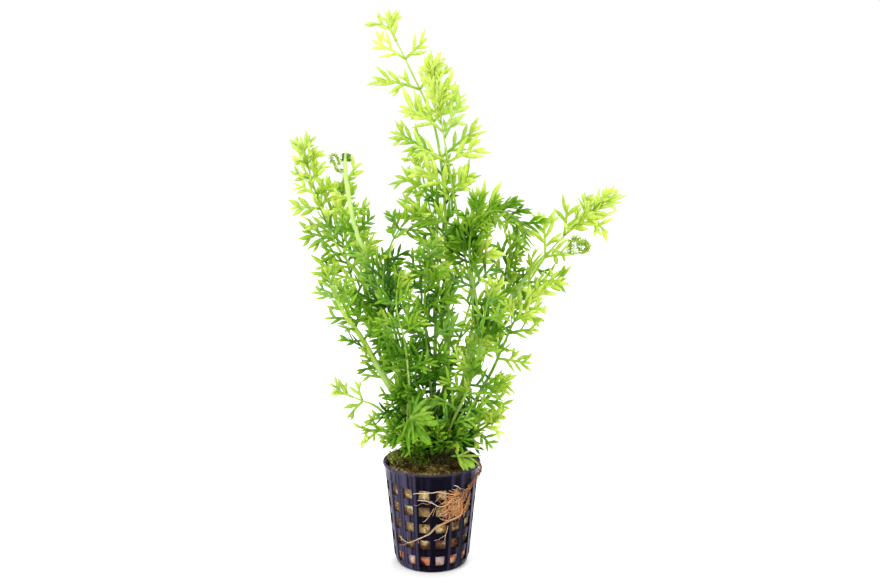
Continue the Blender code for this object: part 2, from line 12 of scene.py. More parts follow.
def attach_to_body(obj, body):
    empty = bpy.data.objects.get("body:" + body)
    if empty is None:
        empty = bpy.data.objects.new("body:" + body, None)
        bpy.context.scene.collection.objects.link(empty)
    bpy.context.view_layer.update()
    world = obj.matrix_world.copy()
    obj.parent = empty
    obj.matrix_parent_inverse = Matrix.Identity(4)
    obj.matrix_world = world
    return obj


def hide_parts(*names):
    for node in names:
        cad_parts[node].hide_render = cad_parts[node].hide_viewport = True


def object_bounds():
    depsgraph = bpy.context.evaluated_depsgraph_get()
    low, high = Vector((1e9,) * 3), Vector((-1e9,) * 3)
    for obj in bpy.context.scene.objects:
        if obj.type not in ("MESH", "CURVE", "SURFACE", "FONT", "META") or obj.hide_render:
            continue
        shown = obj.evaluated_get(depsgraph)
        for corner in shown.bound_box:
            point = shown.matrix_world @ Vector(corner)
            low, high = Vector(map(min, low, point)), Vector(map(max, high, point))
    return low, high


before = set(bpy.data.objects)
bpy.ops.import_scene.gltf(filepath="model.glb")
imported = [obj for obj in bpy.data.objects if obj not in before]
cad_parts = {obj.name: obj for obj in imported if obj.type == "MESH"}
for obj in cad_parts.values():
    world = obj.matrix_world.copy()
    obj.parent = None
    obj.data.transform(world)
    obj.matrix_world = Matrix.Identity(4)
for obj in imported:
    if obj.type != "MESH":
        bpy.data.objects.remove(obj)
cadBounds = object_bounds()
mm = 0.001
up = Vector((0, 0, 1))
print("frame loaded:", len(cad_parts), "nodes")


# shader graph helpers

def addNode(tree, kind, **settings):
    node = tree.nodes.new(kind)
    for key, value in settings.items():
        setattr(node, key, value)
    node.location = (180 * (len(tree.nodes) % 8), -240 * (len(tree.nodes) // 8))
    return node


def feed(tree, socket, source):
    # source is another socket, or a plain value
    if isinstance(source, bpy.types.NodeSocket):
        tree.links.new(source, socket)
    else:
        socket.default_value = source


def mathNode(tree, operation, *values, clamp=False):
    node = addNode(tree, "ShaderNodeMath", operation=operation, use_clamp=clamp)
    for socket, value in zip(node.inputs, values):
        feed(tree, socket, value)
    return node.outputs[0]


def lineNode(tree, value, slope, start):
    # a straight line through the value, kept between 0 and 1
    return mathNode(tree, "MULTIPLY_ADD", value, slope, start, clamp=True)


def vectorNode(tree, operation, *values):
    node = addNode(tree, "ShaderNodeVectorMath", operation=operation)
    for socket, value in zip(node.inputs, values):
        feed(tree, socket, value)
    return node.outputs[0]


def mixColour(tree, factor, first, second, blend="MIX"):
    node = addNode(tree, "ShaderNodeMix", data_type="RGBA", blend_type=blend)
    feed(tree, node.inputs["Factor"], factor)
    for socket, colour in zip(node.inputs[6:8], (first, second)):
        feed(tree, socket, (*colour, 1.0) if isinstance(colour, tuple) else colour)
    return node.outputs[2]


def colourRamp(tree, factor, stops):
    node = addNode(tree, "ShaderNodeValToRGB")
    ramp = node.color_ramp
    while len(ramp.elements) < len(stops):
        ramp.elements.new(0.5)
    for element, (place, colour) in zip(ramp.elements, stops):
        element.position = place
        element.color = (*colour, 1.0)
    feed(tree, node.inputs[0], factor)
    return node.outputs[0]


def noiseTexture(tree, vector, scale, detail=3.0):
    node = addNode(tree, "ShaderNodeTexNoise")
    for label, value in (("Vector", vector), ("Scale", scale), ("Detail", detail), ("Roughness", 0.55)):
        feed(tree, node.inputs[label], value)
    return node.outputs["Fac"]


def objectPlace(tree):
    return addNode(tree, "ShaderNodeTexCoord").outputs["Object"]


def axesOf(tree, vector):
    node = addNode(tree, "ShaderNodeSeparateXYZ")
    feed(tree, node.inputs[0], vector)
    return node.outputs


def readAttribute(tree, name):
    return addNode(tree, "ShaderNodeAttribute", attribute_name=name).outputs["Fac"]


def bumpNode(tree, height, strength, distance):
    node = addNode(tree, "ShaderNodeBump")
    for label, value in (("Strength", strength), ("Distance", distance), ("Height", height)):
        feed(tree, node.inputs[label], value)
    return node.outputs["Normal"]


def principled(tree, colour, roughness, normal, specular=0.5, tint=(1.0, 1.0, 1.0), bending=1.5):
    node = addNode(tree, "ShaderNodeBsdfPrincipled")
    for label, value in (("Base Color", colour), ("Roughness", roughness), ("Normal", normal),
                         ("Specular IOR Level", specular), ("Specular Tint", (*tint, 1.0)), ("IOR", bending)):
        feed(tree, node.inputs[label], value)
    return node.outputs[0]


def makeMaterial(name, surface):
    material = bpy.data.materials.new(name)
    material.use_nodes = True
    tree = material.node_tree
    tree.nodes.clear()
    feed(tree, addNode(tree, "ShaderNodeOutputMaterial").inputs["Surface"], surface(tree))
    return material


def newGroup(name, inputs, output):
    group = bpy.data.node_groups.new(name, "ShaderNodeTree")
    for label, kind, value in inputs:
        group.interface.new_socket(name=label, in_out="INPUT", socket_type=kind).default_value = value
    group.interface.new_socket(name=output, in_out="OUTPUT", socket_type="NodeSocketFloat")
    return group, addNode(group, "NodeGroupInput").outputs, addNode(group, "NodeGroupOutput").inputs


def placeGroup(tree, group, **values):
    node = addNode(tree, "ShaderNodeGroup", node_tree=group)
    for key, value in values.items():
        feed(tree, node.inputs[key], value)
    return node.outputs[0]


# shared effects

def makeMottleGroup():
    # broad and fine unevenness of tone on one 0 to 1 scale
    group, given, result = newGroup("surfaceMottle", [
        ("Broad", "NodeSocketFloat", 60.0), ("Fine", "NodeSocketFloat", 600.0),
        ("Balance", "NodeSocketFloat", 0.4)], "Tone")
    place = objectPlace(group)
    broad = noiseTexture(group, place, given["Broad"], 2.0)
    fine = noiseTexture(group, place, given["Fine"], 3.0)
    shifted = mathNode(group, "SUBTRACT", fine, broad)
    scaled = mathNode(group, "MULTIPLY", shifted, given["Balance"])
    feed(group, result["Tone"], mathNode(group, "ADD", broad, scaled))
    return group


def makeCellGroup():
    # the small raised cells of spongy water-plant tissue
    group, given, result = newGroup("tissueCells", [
        ("Size", "NodeSocketFloat", 900.0), ("Stretch", "NodeSocketVector", (1.0, 1.0, 0.45))], "Height")
    mapping = addNode(group, "ShaderNodeMapping")
    feed(group, mapping.inputs["Vector"], objectPlace(group))
    feed(group, mapping.inputs["Scale"], given["Stretch"])
    cells = addNode(group, "ShaderNodeTexVoronoi", feature="F1")
    feed(group, cells.inputs["Vector"], mapping.outputs["Vector"])
    feed(group, cells.inputs["Scale"], given["Size"])
    feed(group, result["Height"], mathNode(group, "SUBTRACT", 1.0, cells.outputs["Distance"], clamp=True))
    return group


mottleGroup = makeMottleGroup()
cellGroup = makeCellGroup()


def mottle(tree, broad, fine, balance):
    return placeGroup(tree, mottleGroup, Broad=broad, Fine=fine, Balance=balance)


# leaf: green by age, with a paler midrib and stalk, raised cells, a bluish bloom that is partly a painted sheen,
# painted shade on the leaves and stalks near the crown, and light coming through
leafFinish = {
    "tones": ((0.0, (0.010, 0.060, 0.001)), (0.25, (0.043, 0.165, 0.003)), (0.5, (0.185, 0.400, 0.016)),
              (0.78, (0.500, 0.655, 0.075)), (1.0, (0.765, 0.870, 0.220))),
    "stalkTones": ((0.1, (0.180, 0.300, 0.028)), (0.45, (0.360, 0.520, 0.095)), (0.85, (0.640, 0.800, 0.330))),
    # the inner amount is painted shade on leaves near the crown, the outer amount painted light on leaves
    # further out
    "mottle": 0.9, "innerPaintedShade": 0.30, "outerPaintedLight": 0.07, "ribShare": 0.4, "cellShare": 0.22,
    # the bloom is a paler bluish tone in broad patches, partly the leaf's own and partly a painted sheen
    "cellTint": (1.0, 1.0, 0.75), "bloom": (0.290, 0.560, 0.190), "glaucousSheenShare": 0.42, "letThrough": 0.34,
    "throughTint": (0.85, 1.0, 0.25), "relief": 0.15 * mm, "bending": 1.2,
}


def leafSurface(tree):
    look = leafFinish
    tone = mottle(tree, 55.0, 420.0, 0.45)
    cells = placeGroup(tree, cellGroup, Size=950.0)
    shift = mathNode(tree, "MULTIPLY", mathNode(tree, "SUBTRACT", tone, 0.5), look["mottle"])
    # painted shade: leaves and stalks close to the axis and low down are darkened as if shaded by the plant, and
    # those further out are lightened
    place = axesOf(tree, objectPlace(tree))
    away = mathNode(tree, "SQRT", mathNode(tree, "ADD", mathNode(tree, "POWER", place["X"], 2.0),
                                           mathNode(tree, "POWER", place["Y"], 2.0)))
    inner = lineNode(tree, away, -58.0, 1.5)
    low = lineNode(tree, place["Z"], -20.0, 3.0)
    depth = mathNode(tree, "MULTIPLY_ADD", inner, -look["innerPaintedShade"], look["outerPaintedLight"])
    paintedDepthShade = mathNode(tree, "MULTIPLY", depth, low)  # painted shade near the crown, and painted light further out
    aged = mathNode(tree, "ADD", readAttribute(tree, "age"), shift)
    shade = mathNode(tree, "ADD", aged, paintedDepthShade, clamp=True)
    stem = colourRamp(tree, shade, look["stalkTones"])
    beside = mathNode(tree, "MULTIPLY", mathNode(tree, "ABSOLUTE", readAttribute(tree, "rib")), 6.0)
    rib = mathNode(tree, "SUBTRACT", 1.0, beside, clamp=True)
    colour = mixColour(tree, mathNode(tree, "MULTIPLY", rib, look["ribShare"]),
                       colourRamp(tree, shade, look["tones"]), stem)
    dotted = mathNode(tree, "MULTIPLY", cells, look["cellShare"])
    colour = mixColour(tree, dotted, colour, look["cellTint"], "OVERLAY")
    # a bluish bloom in broad patches: partly the leaf's own tone, partly painted sheen
    glaucousSheenPatches = lineNode(tree, noiseTexture(tree, objectPlace(tree), 38.0, 1.5), 4.0, -2.15)
    colour = mixColour(tree, mathNode(tree, "MULTIPLY", glaucousSheenPatches, look["glaucousSheenShare"]), colour, look["bloom"])
    colour = mixColour(tree, readAttribute(tree, "stalk"), colour, stem)
    height = mathNode(tree, "ADD", mathNode(tree, "MULTIPLY", cells, 0.35),
                      mathNode(tree, "MULTIPLY", rib, 0.8))
    through = addNode(tree, "ShaderNodeBsdfTranslucent")
    lit = mixColour(tree, 0.55, colour, look["throughTint"], "MULTIPLY")
    feed(tree, through.inputs["Color"], mixColour(tree, 0.35, lit, colour, "ADD"))
    both = addNode(tree, "ShaderNodeMixShader")
    both.inputs["Fac"].default_value = look["letThrough"]
    feed(tree, both.inputs[1], principled(tree, colour, mathNode(tree, "MULTIPLY_ADD", tone, 0.3, 0.2),
                                          bumpNode(tree, height, 0.5, look["relief"]), bending=look["bending"]))
    feed(tree, both.inputs[2], through.outputs[0])
    return both.outputs[0]


# pot: black plastic with painted bluish sheen streaks, strongest towards its left and right, a painted sheen on
# the lip and a little dust
potFinish = {
    # the streak colour is a painted sheen
    "black": ((0.3, (0.0006, 0.0004, 0.002)), (0.7, (0.004, 0.003, 0.011))), "sheenStreak": (0.120, 0.100, 0.185),
    # the lip colour is a painted sheen along the top of the rim
    "lip": (0.13, 0.115, 0.18), "lipSheenShare": 0.45, "dust": (0.14, 0.12, 0.17), "dustShare": 0.3,
    "specular": 0.14, "tint": (0.8, 0.75, 1.0), "bending": 1.24, "relief": 0.08 * mm,
}


def potSurface(tree):
    look = potFinish
    tone = mottle(tree, 90.0, 900.0, 0.6)
    dust = mottle(tree, 220.0, 2600.0, 0.9)
    dusty = mathNode(tree, "MULTIPLY", mathNode(tree, "SUBTRACT", dust, 0.56, clamp=True), look["dustShare"])
    # painted sheen: bluish streaks running up the wall, strongest towards the left and right and dark in the
    # middle
    outward = vectorNode(tree, "NORMALIZE", vectorNode(tree, "MULTIPLY", objectPlace(tree), (1.0, 1.0, 0.0)))
    sheenBands = colourRamp(tree, noiseTexture(tree, outward, 8.0, 2.0),
                       ((0.46, (0.0, 0.0, 0.0)), (0.6, (1.0, 1.0, 1.0))))
    aside = mathNode(tree, "ABSOLUTE", mathNode(tree, "SUBTRACT", axesOf(tree, outward)["X"], 0.1))
    sheenStreaked = mathNode(tree, "MULTIPLY", sheenBands, lineNode(tree, aside, 0.8, -0.06))
    colour = mixColour(tree, sheenStreaked, colourRamp(tree, tone, look["black"]), look["sheenStreak"])
    # painted sheen: paler lavender along the top of the lip
    lip = lineNode(tree, axesOf(tree, objectPlace(tree))["Z"], 700.0, -37.6)
    colour = mixColour(tree, mathNode(tree, "MULTIPLY", lip, look["lipSheenShare"]), colour, look["lip"])
    colour = mixColour(tree, dusty, colour, look["dust"])
    return principled(tree, colour, mathNode(tree, "MULTIPLY_ADD", tone, 0.24, 0.12),
                      bumpNode(tree, dust, 0.25, look["relief"]), look["specular"], look["tint"],
                      look["bending"])


# rockwool: tan fibre with painted shade in dark brown patches, soaked darker lower down, rusty and bleached at
# the foot, brown soil on top
woolFinish = {
    "fibre": ((0.36, (0.09, 0.040, 0.012)), (0.45, (0.38, 0.22, 0.075)), (0.53, (0.68, 0.48, 0.20)),
              (0.63, (0.96, 0.86, 0.60))),
    # the shade colour is painted shade, laid on in broad patches
    "shade": (0.17, 0.10, 0.045), "paintedShadeShare": 0.6, "soaked": (0.085, 0.024, 0.016), "soakedShare": 0.85,
    "stain": ((0.40, (0.12, 0.02, 0.02)), (0.46, (1.0, 0.36, 0.16)), (0.54, (1.0, 0.48, 0.32)),
              (0.59, (0.97, 0.84, 0.82))),
    "stainShare": 0.85,
    "soil": ((0.40, (0.008, 0.005, 0.002)), (0.48, (0.048, 0.031, 0.006)), (0.55, (0.110, 0.076, 0.017)),
             (0.65, (0.36, 0.26, 0.09))),
    "roughness": 0.95, "specular": 0.1, "relief": 0.7 * mm,
}


def woolSurface(tree):
    look = woolFinish
    place = objectPlace(tree)
    height = axesOf(tree, place)["Z"]
    tone = mottle(tree, 210.0, 750.0, 0.5)
    # painted shade: broad dark brown patches, standing in for shadow in the windows
    paintedShadePatches = lineNode(tree, noiseTexture(tree, place, 115.0, 0.5), 7.0, -3.4)
    colour = mixColour(tree, mathNode(tree, "MULTIPLY", paintedShadePatches, look["paintedShadeShare"]),
                       colourRamp(tree, tone, look["fibre"]), look["shade"])
    damp = mathNode(tree, "ADD", noiseTexture(tree, place, 170.0, 2.0), lineNode(tree, height, -30.0, 0.66))
    soaked = mathNode(tree, "MULTIPLY", mathNode(tree, "SUBTRACT", damp, 0.54, clamp=True), 6.0, clamp=True)
    colour = mixColour(tree, mathNode(tree, "MULTIPLY", soaked, look["soakedShare"]), colour, look["soaked"])
    rusty = lineNode(tree, height, -150.0, 1.9)
    stain = colourRamp(tree, noiseTexture(tree, place, 130.0, 1.0), look["stain"])
    colour = mixColour(tree, mathNode(tree, "MULTIPLY", rusty, look["stainShare"]), colour, stain)
    colour = mixColour(tree, lineNode(tree, height, 260.0, -13.2), colour, colourRamp(tree, tone, look["soil"]))
    return principled(tree, colour, look["roughness"], bumpNode(tree, tone, 1.0, look["relief"]),
                      look["specular"])


# roots, from dark red-brown to cream, and moss, from brown to yellow-green: both by age and mottle
rootFinish = {
    "tones": ((0.05, (0.085, 0.018, 0.008)), (0.3, (0.33, 0.085, 0.035)), (0.5, (0.62, 0.245, 0.045)),
              (0.72, (0.68, 0.46, 0.29)), (0.95, (0.88, 0.78, 0.64))),
    "mottle": (180.0, 1400.0, 0.6), "share": 0.55, "roughness": 0.42, "relief": (0.5, 0.12 * mm),
    "specular": 0.5,
}
mossFinish = {
    "tones": ((0.0, (0.014, 0.009, 0.003)), (0.25, (0.085, 0.055, 0.014)), (0.45, (0.085, 0.105, 0.012)),
              (0.7, (0.21, 0.26, 0.025)), (1.0, (0.50, 0.50, 0.09))),
    "mottle": (140.0, 900.0, 0.5), "share": 1.0, "roughness": 0.7, "relief": (0.4, 0.15 * mm), "specular": 0.3,
}


def agedSurface(tree, look):
    tone = mottle(tree, *look["mottle"])
    shift = mathNode(tree, "MULTIPLY", mathNode(tree, "SUBTRACT", tone, 0.5), look["share"])
    shade = mathNode(tree, "ADD", readAttribute(tree, "age"), shift)
    return principled(tree, colourRamp(tree, shade, look["tones"]), look["roughness"],
                      bumpNode(tree, tone, *look["relief"]), look["specular"])


leafMaterial = makeMaterial("waterSpriteLeaf", leafSurface)
potMaterial = makeMaterial("blackPotPlastic", potSurface)
woolMaterial = makeMaterial("rockwoolFibre", woolSurface)
rootMaterial = makeMaterial("redBrownRoot", lambda tree: agedSurface(tree, rootFinish))
mossMaterial = makeMaterial("mossAndScale", lambda tree: agedSurface(tree, mossFinish))
print("materials made")


# general modelling helpers

def around(radius, turn, height):
    # turn is in degrees from the front of the pot towards +X
    angle = math.radians(turn)
    return Vector((radius * math.sin(angle), -radius * math.cos(angle), height))


def turnOf(place):
    return math.degrees(math.atan2(place.x, -place.y))


def level(place):
    return Vector((place.x, place.y, 0.0))


def evenShares(count):
    return [index / count for index in range(count + 1)]


def onlyVerts(geometry):
    return [part for part in geometry if isinstance(part, bmesh.types.BMVert)]


def pullOut(mesh, edges):
    # extrudes the edges in place, and gives the new verts and edges
    grown = bmesh.ops.extrude_edge_only(mesh, edges=edges)["geom"]
    verts = onlyVerts(grown)
    edges = [part for part in grown if isinstance(part, bmesh.types.BMEdge)
             and all(vert in verts for vert in part.verts)]
    return verts, edges


def newSheet():
    mesh = bmesh.new()
    for name in ("age", "rib", "stalk"):
        mesh.verts.layers.float.new(name)
    return mesh


def markVerts(mesh, verts, **values):
    for name, value in values.items():
        layer = mesh.verts.layers.float[name]
        for vert in verts:
            vert[layer] = value


def meshData(mesh, name):
    data = bpy.data.meshes.new(name)
    mesh.to_mesh(data)
    mesh.free()
    return data


def attach(piece, part):
    # moves a small mesh into the piece's own
    data = meshData(part, "part")
    piece.from_mesh(data)
    bpy.data.meshes.remove(data)


def linkObject(name, data):
    thing = bpy.data.objects.new(name, data)
    bpy.context.scene.collection.objects.link(thing)
    return thing


def finishPiece(mesh, name, material, nodes, recalculate=True):
    if recalculate:
        bmesh.ops.recalc_face_normals(mesh, faces=mesh.faces)
    data = meshData(mesh, name)
    data.shade_smooth()
    data.materials.append(material)
    piece = linkObject(name, data)
    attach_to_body(piece, "root")
    if nodes:
        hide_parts(*nodes)
    return piece


def startRing(sides, radius, way, place, ridge=0.0):
    # a capped circle square to the way; every other corner stands proud by the ridge
    mesh = newSheet()
    ring = bmesh.ops.create_circle(mesh, cap_ends=True, segments=sides, radius=radius)["verts"]
    for index, vert in enumerate(ring):
        vert.co *= 1.0 + ridge * (1 if index % 2 else -1)
    bmesh.ops.rotate(mesh, verts=ring, cent=(0, 0, 0), matrix=up.rotation_difference(way).to_matrix())
    bmesh.ops.translate(mesh, verts=ring, vec=place)
    edges = list(dict.fromkeys(edge for vert in ring for edge in vert.link_edges))
    return mesh, ring, edges


def sweepTube(piece, places, radii, sides, ages, ridge=0.0, stalks=None):
    # a round tube along the places, closed at both ends
    stalks = stalks or [0.0] * len(places)
    ways = [(b - a).normalized() for a, b in zip(places, places[1:])]
    ways.append(ways[-1])
    mesh, ring, edges = startRing(sides, radii[0], ways[0], places[0], ridge)
    markVerts(mesh, ring, age=ages[0], stalk=stalks[0], rib=1.0)
    for index in range(1, len(places)):
        ring, edges = pullOut(mesh, edges)
        bend = ways[index - 1].rotation_difference(ways[index]).to_matrix()
        bmesh.ops.translate(mesh, verts=ring, vec=places[index] - places[index - 1])
        bmesh.ops.rotate(mesh, verts=ring, cent=places[index], matrix=bend)
        grow = radii[index] / radii[index - 1]
        here = Matrix.Translation(-places[index])
        bmesh.ops.scale(mesh, verts=ring, vec=(grow, grow, grow), space=here)
        markVerts(mesh, ring, age=ages[index], stalk=stalks[index])
    bmesh.ops.contextual_create(mesh, geom=edges)
    bmesh.ops.recalc_face_normals(mesh, faces=mesh.faces)
    attach(piece, mesh)


def smoothRoute(points, steps=12):
    ends = [points[0] * 2 - points[1], *points, points[-1] * 2 - points[-2]]
    route = []
    for before, start, end, after in zip(ends, ends[1:], ends[2:], ends[3:]):
        leaving = start + (end - before) / 6
        arriving = end - (after - start) / 6
        route += interpolate_bezier(start, leaving, arriving, end, steps)[:-1]
    route.append(points[-1])
    return route


class Route:
    # a smooth curve, asked by share of its length
    def __init__(self, points):
        self.points = smoothRoute(points)
        self.lengths = [0.0]
        for a, b in zip(self.points, self.points[1:]):
            self.lengths.append(self.lengths[-1] + (b - a).length)
        self.length = self.lengths[-1]

    def at(self, share):
        wanted = min(max(share, 0.0), 1.0) * self.length
        index = max(i for i, length in enumerate(self.lengths[:-1]) if length <= wanted)
        start, end = self.points[index], self.points[index + 1]
        return start.lerp(end, (wanted - self.lengths[index]) / (end - start).length)

    def direction(self, share):
        near = 0.02
        return (self.at(share + near) - self.at(share - near)).normalized()

    def nearest(self, point):
        return min(evenShares(400), key=lambda share: (self.at(share) - point).length)


# the pot

potLook = {
    "height": 55.0 * mm, "footRadius": 19.0 * mm, "bandRadius": 24.4 * mm, "rimRadius": 25.5 * mm,
    "wall": 1.2 * mm, "columns": 16, "windowShare": 0.58, "frontWindowTurn": -9.6,
    "firstWindow": 3.6 * mm, "windowPitch": 9.2 * mm, "windowHeight": 5.6 * mm, "windowRows": 5,
    "windowSteps": 3, "ribSteps": 2, "ribInset": 0.25 * mm, "ribProud": 0.3 * mm,
    "floorSlot": (6.0 * mm, 14.0 * mm), "edge": 0.22 * mm, "edgeAngle": 32.0,
    "bandStart": 47.0 * mm, "bandStep": 0.5 * mm, "bandEnd": 52.4 * mm, "bandProud": 0.6 * mm,
    "footRounding": ((2.0, 0.0), (0.84, 0.36), (0.16, 1.44)),  # mm in from the foot's radius, and up
    "lip": ((0.75, 1.9), (0.1, 1.3), (0.0, 0.7), (0.25, 0.15), (0.8, 0.0)),  # mm in from the rim, and down
}


def wallRadius(height):
    share = height / potLook["height"]
    return potLook["footRadius"] + (potLook["bandRadius"] - potLook["footRadius"]) * share


def windowRows():
    lows = [potLook["firstWindow"] + row * potLook["windowPitch"] for row in range(potLook["windowRows"])]
    return [(low, low + potLook["windowHeight"]) for low in lows]


def potProfile():
    start, end, proud = potLook["bandStart"], potLook["bandEnd"], potLook["bandProud"]
    profile = [(radius, 0.0) for radius in potLook["floorSlot"]]
    profile += [(potLook["footRadius"] - inward * mm, rise * mm) for inward, rise in potLook["footRounding"]]
    profile += [(wallRadius(height), height) for row in windowRows() for height in row]
    profile += [(wallRadius(start), start), (wallRadius(start) + proud, start + potLook["bandStep"])]
    profile.append((wallRadius(end) + 0.5 * proud, end))
    return profile + [(potLook["rimRadius"] - inward * mm, potLook["height"] - down * mm)
                      for inward, down in potLook["lip"]]


def spinPot(pot, first, pitch, window):
    # the outline turned once round, in even steps across each window and each rib
    outline = [pot.verts.new(around(radius, first, height)) for radius, height in potProfile()]
    edges = [pot.edges.new(pair) for pair in zip(outline, outline[1:])]
    steps = [window / potLook["windowSteps"]] * potLook["windowSteps"]
    steps += [(pitch - window) / potLook["ribSteps"]] * potLook["ribSteps"]
    for turn in steps * potLook["columns"]:
        verts, edges = pullOut(pot, edges)
        bmesh.ops.rotate(pot, verts=verts, cent=(0, 0, 0), matrix=Matrix.Rotation(math.radians(turn), 3, "Z"))
    bmesh.ops.remove_doubles(pot, verts=pot.verts, dist=0.01 * mm)


def buildPot():
    pot = bmesh.new()
    pitch = 360.0 / potLook["columns"]
    window = pitch * potLook["windowShare"]
    first = potLook["frontWindowTurn"] - window / 2
    spinPot(pot, first, pitch, window)
    slotStart, slotEnd = potLook["floorSlot"]
    rows = windowRows()
    openings, ribs = [], []
    for face in pot.faces:
        middle = face.calc_center_median()
        inWindow = (turnOf(middle) - first) % pitch < window
        if inWindow and any(low < middle.z < high for low, high in rows):
            openings.append(face)
        elif inWindow and middle.z < 0.1 * mm and slotStart < middle.xy.length < slotEnd:
            if round((turnOf(middle) - potLook["frontWindowTurn"]) / pitch) % 2 == 0:
                openings.append(face)
        elif not inWindow and rows[0][0] < middle.z < rows[-1][1]:
            ribs.append(face)
    hub = [edge for edge in pot.edges if edge.is_boundary
           and all(vert.co.xy.length < slotStart + 0.1 * mm for vert in edge.verts)]
    bmesh.ops.contextual_create(pot, geom=hub)
    bmesh.ops.delete(pot, geom=openings, context="FACES")
    bmesh.ops.recalc_face_normals(pot, faces=pot.faces)
    if sum(face.normal.dot(level(face.calc_center_median())) for face in pot.faces) < 0:
        bmesh.ops.reverse_faces(pot, faces=pot.faces)
    bmesh.ops.inset_region(pot, faces=ribs, thickness=potLook["ribInset"], depth=potLook["ribProud"],
                           use_even_offset=False)
    piece = finishPiece(pot, "netPot", potMaterial, ["pot"], recalculate=False)
    wall = piece.modifiers.new("wall", "SOLIDIFY")
    wall.thickness, wall.offset = potLook["wall"], -1.0
    bevel = piece.modifiers.new("edges", "BEVEL")
    bevel.width, bevel.segments, bevel.harden_normals = potLook["edge"], 2, True
    bevel.limit_method, bevel.angle_limit = "ANGLE", math.radians(potLook["edgeAngle"])
    print("pot built")


# the rockwool plug, with its loose fibres

woolLook = {
    "top": 56.0 * mm, "shoulder": 51.5 * mm, "bottom": 1.7 * mm, "turns": 120, "rows": 64, "topRings": 14,
    "clearance": 0.75 * mm, "rough": 0.6 * mm, "roughScale": 420.0, "roughStretch": 2.2,
    "lumps": 1.5 * mm, "dome": 2.2 * mm, "domeRadius": 20.0 * mm,
    "fibres": 1100, "fibreLength": (3.0 * mm, 9.0 * mm), "fibreRadius": 0.07 * mm, "fibreBow": 0.35 * mm,
    "fibreHeights": (4.0 * mm, 56.5 * mm), "fibreRing": (9.0 * mm, 20.5 * mm), "topFibresFrom": 51.0 * mm,
}


def woolRadius(height):
    inner = wallRadius(height) * 0.985 - potLook["wall"] - woolLook["clearance"]
    if height < woolLook["shoulder"]:
        return inner
    share = (height - woolLook["shoulder"]) / (woolLook["top"] - woolLook["shoulder"])
    return inner * math.sqrt(max(0.0, 1.0 - share**4 * 0.98))


def domeShare(radius):
    return max(0.0, 1.0 - (radius / woolLook["domeRadius"]) ** 2)


def spinWool(wool):
    bottom, top = woolLook["bottom"], woolLook["top"]
    heights = [bottom + (top - bottom) * share for share in evenShares(woolLook["rows"])]
    rings = [woolRadius(woolLook["shoulder"]) * (0.92 - 0.9 * ring / woolLook["topRings"])
             for ring in range(woolLook["topRings"])]
    profile = [(0.001 * mm, bottom)] + [(woolRadius(height), height) for height in heights]
    profile += [(radius, top) for radius in rings if radius < woolRadius(heights[-1])] + [(0.001 * mm, top)]
    outline = [wool.verts.new((radius, 0.0, height)) for radius, height in profile]
    edges = [wool.edges.new(pair) for pair in zip(outline, outline[1:])]
    bmesh.ops.spin(wool, geom=outline + edges, cent=(0, 0, 0), axis=(0, 0, 1), angle=math.tau,
                   steps=woolLook["turns"], use_merge=True)
    bmesh.ops.remove_doubles(wool, verts=wool.verts, dist=0.02 * mm)


def roughenWool(wool):
    # a matted wall, and a lumpy dome on top
    for vert in wool.verts:
        outward = level(vert.co)
        if outward.length > mm and vert.co.z > woolLook["bottom"] + mm:
            stretched = Vector((*vert.co.xy, vert.co.z * woolLook["roughStretch"])) * woolLook["roughScale"]
            lump = noise.noise(stretched) + 0.6 * noise.noise(stretched * 2.7)
            vert.co += outward.normalized() * lump * woolLook["rough"]
            vert.co.z += 0.5 * lump * woolLook["rough"]
            if vert.co.z > woolLook["shoulder"]:
                spread = domeShare(outward.length)
                lumps = (noise.noise(vert.co * 260.0) + 0.5 * noise.noise(vert.co * 900.0)) * woolLook["lumps"]
                vert.co.z += lumps * min(1.0, 2.0 * spread + 0.2) + woolLook["dome"] * spread


def addFibre(wool, draw):
    # a loose fibre that lies on the wall or on the dome
    top = woolLook["top"]
    height, turn = draw.uniform(*woolLook["fibreHeights"]), draw.uniform(-180.0, 180.0)
    start = around(woolRadius(min(height, top - 0.3 * mm)) + 0.1 * mm, turn, height)
    if height > woolLook["topFibresFrom"]:
        ring = draw.uniform(*woolLook["fibreRing"])
        height = top + woolLook["dome"] * domeShare(ring)
        start = around(ring, turn, height + draw.uniform(-1.2, 0.6) * mm)
    length = draw.uniform(*woolLook["fibreLength"])
    swing = math.radians(draw.uniform(-60.0, 60.0)) * length / start.xy.length
    slope = draw.uniform(-0.35, 0.35) * length
    places = []
    for share in evenShares(4):
        place = Matrix.Rotation(swing * share, 3, "Z") @ start
        place += level(place).normalized() * woolLook["fibreBow"] * math.sin(math.pi * share)
        place.z = min(start.z + slope * share, top + 1.2 * mm)
        places.append(place)
    sweepTube(wool, places, [woolLook["fibreRadius"]] * 5, 3, [0.0] * 5)


def buildWool():
    draw = random.Random(5)
    wool = newSheet()
    spinWool(wool)
    roughenWool(wool)
    for _ in range(woolLook["fibres"]):
        addFibre(wool, draw)
    finishPiece(wool, "rockwoolPlug", woolMaterial, ["rockwool"])
    print("rockwool built")


# the crown: a scaly rootstock

crownLook = {
    "radius": 11.2 * mm, "height": 8.0 * mm, "innerRing": 4.2 * mm, "outerRing": 9.2 * mm, "lumps": 1.1 * mm,
    "scales": 1300, "scaleLength": (1.6 * mm, 5.2 * mm), "scaleWidth": 0.36 * mm,
}


def crownHeight(radius):
    return crownLook["height"] * math.sqrt(max(0.0, 1.0 - (radius / crownLook["radius"]) ** 2))


def addSpike(piece, base, way, length, width, age):
    # a slim pointed scale or moss leaf, drawn out of a small triangle
    mesh, ring, edges = startRing(3, width, way, base)
    markVerts(mesh, ring, age=age, rib=1.0)
    tip, _ = pullOut(mesh, edges)
    markVerts(mesh, tip, age=age + 0.3)
    bmesh.ops.pointmerge(mesh, verts=tip, merge_co=base + way * length)
    bmesh.ops.recalc_face_normals(mesh, faces=mesh.faces)
    attach(piece, mesh)


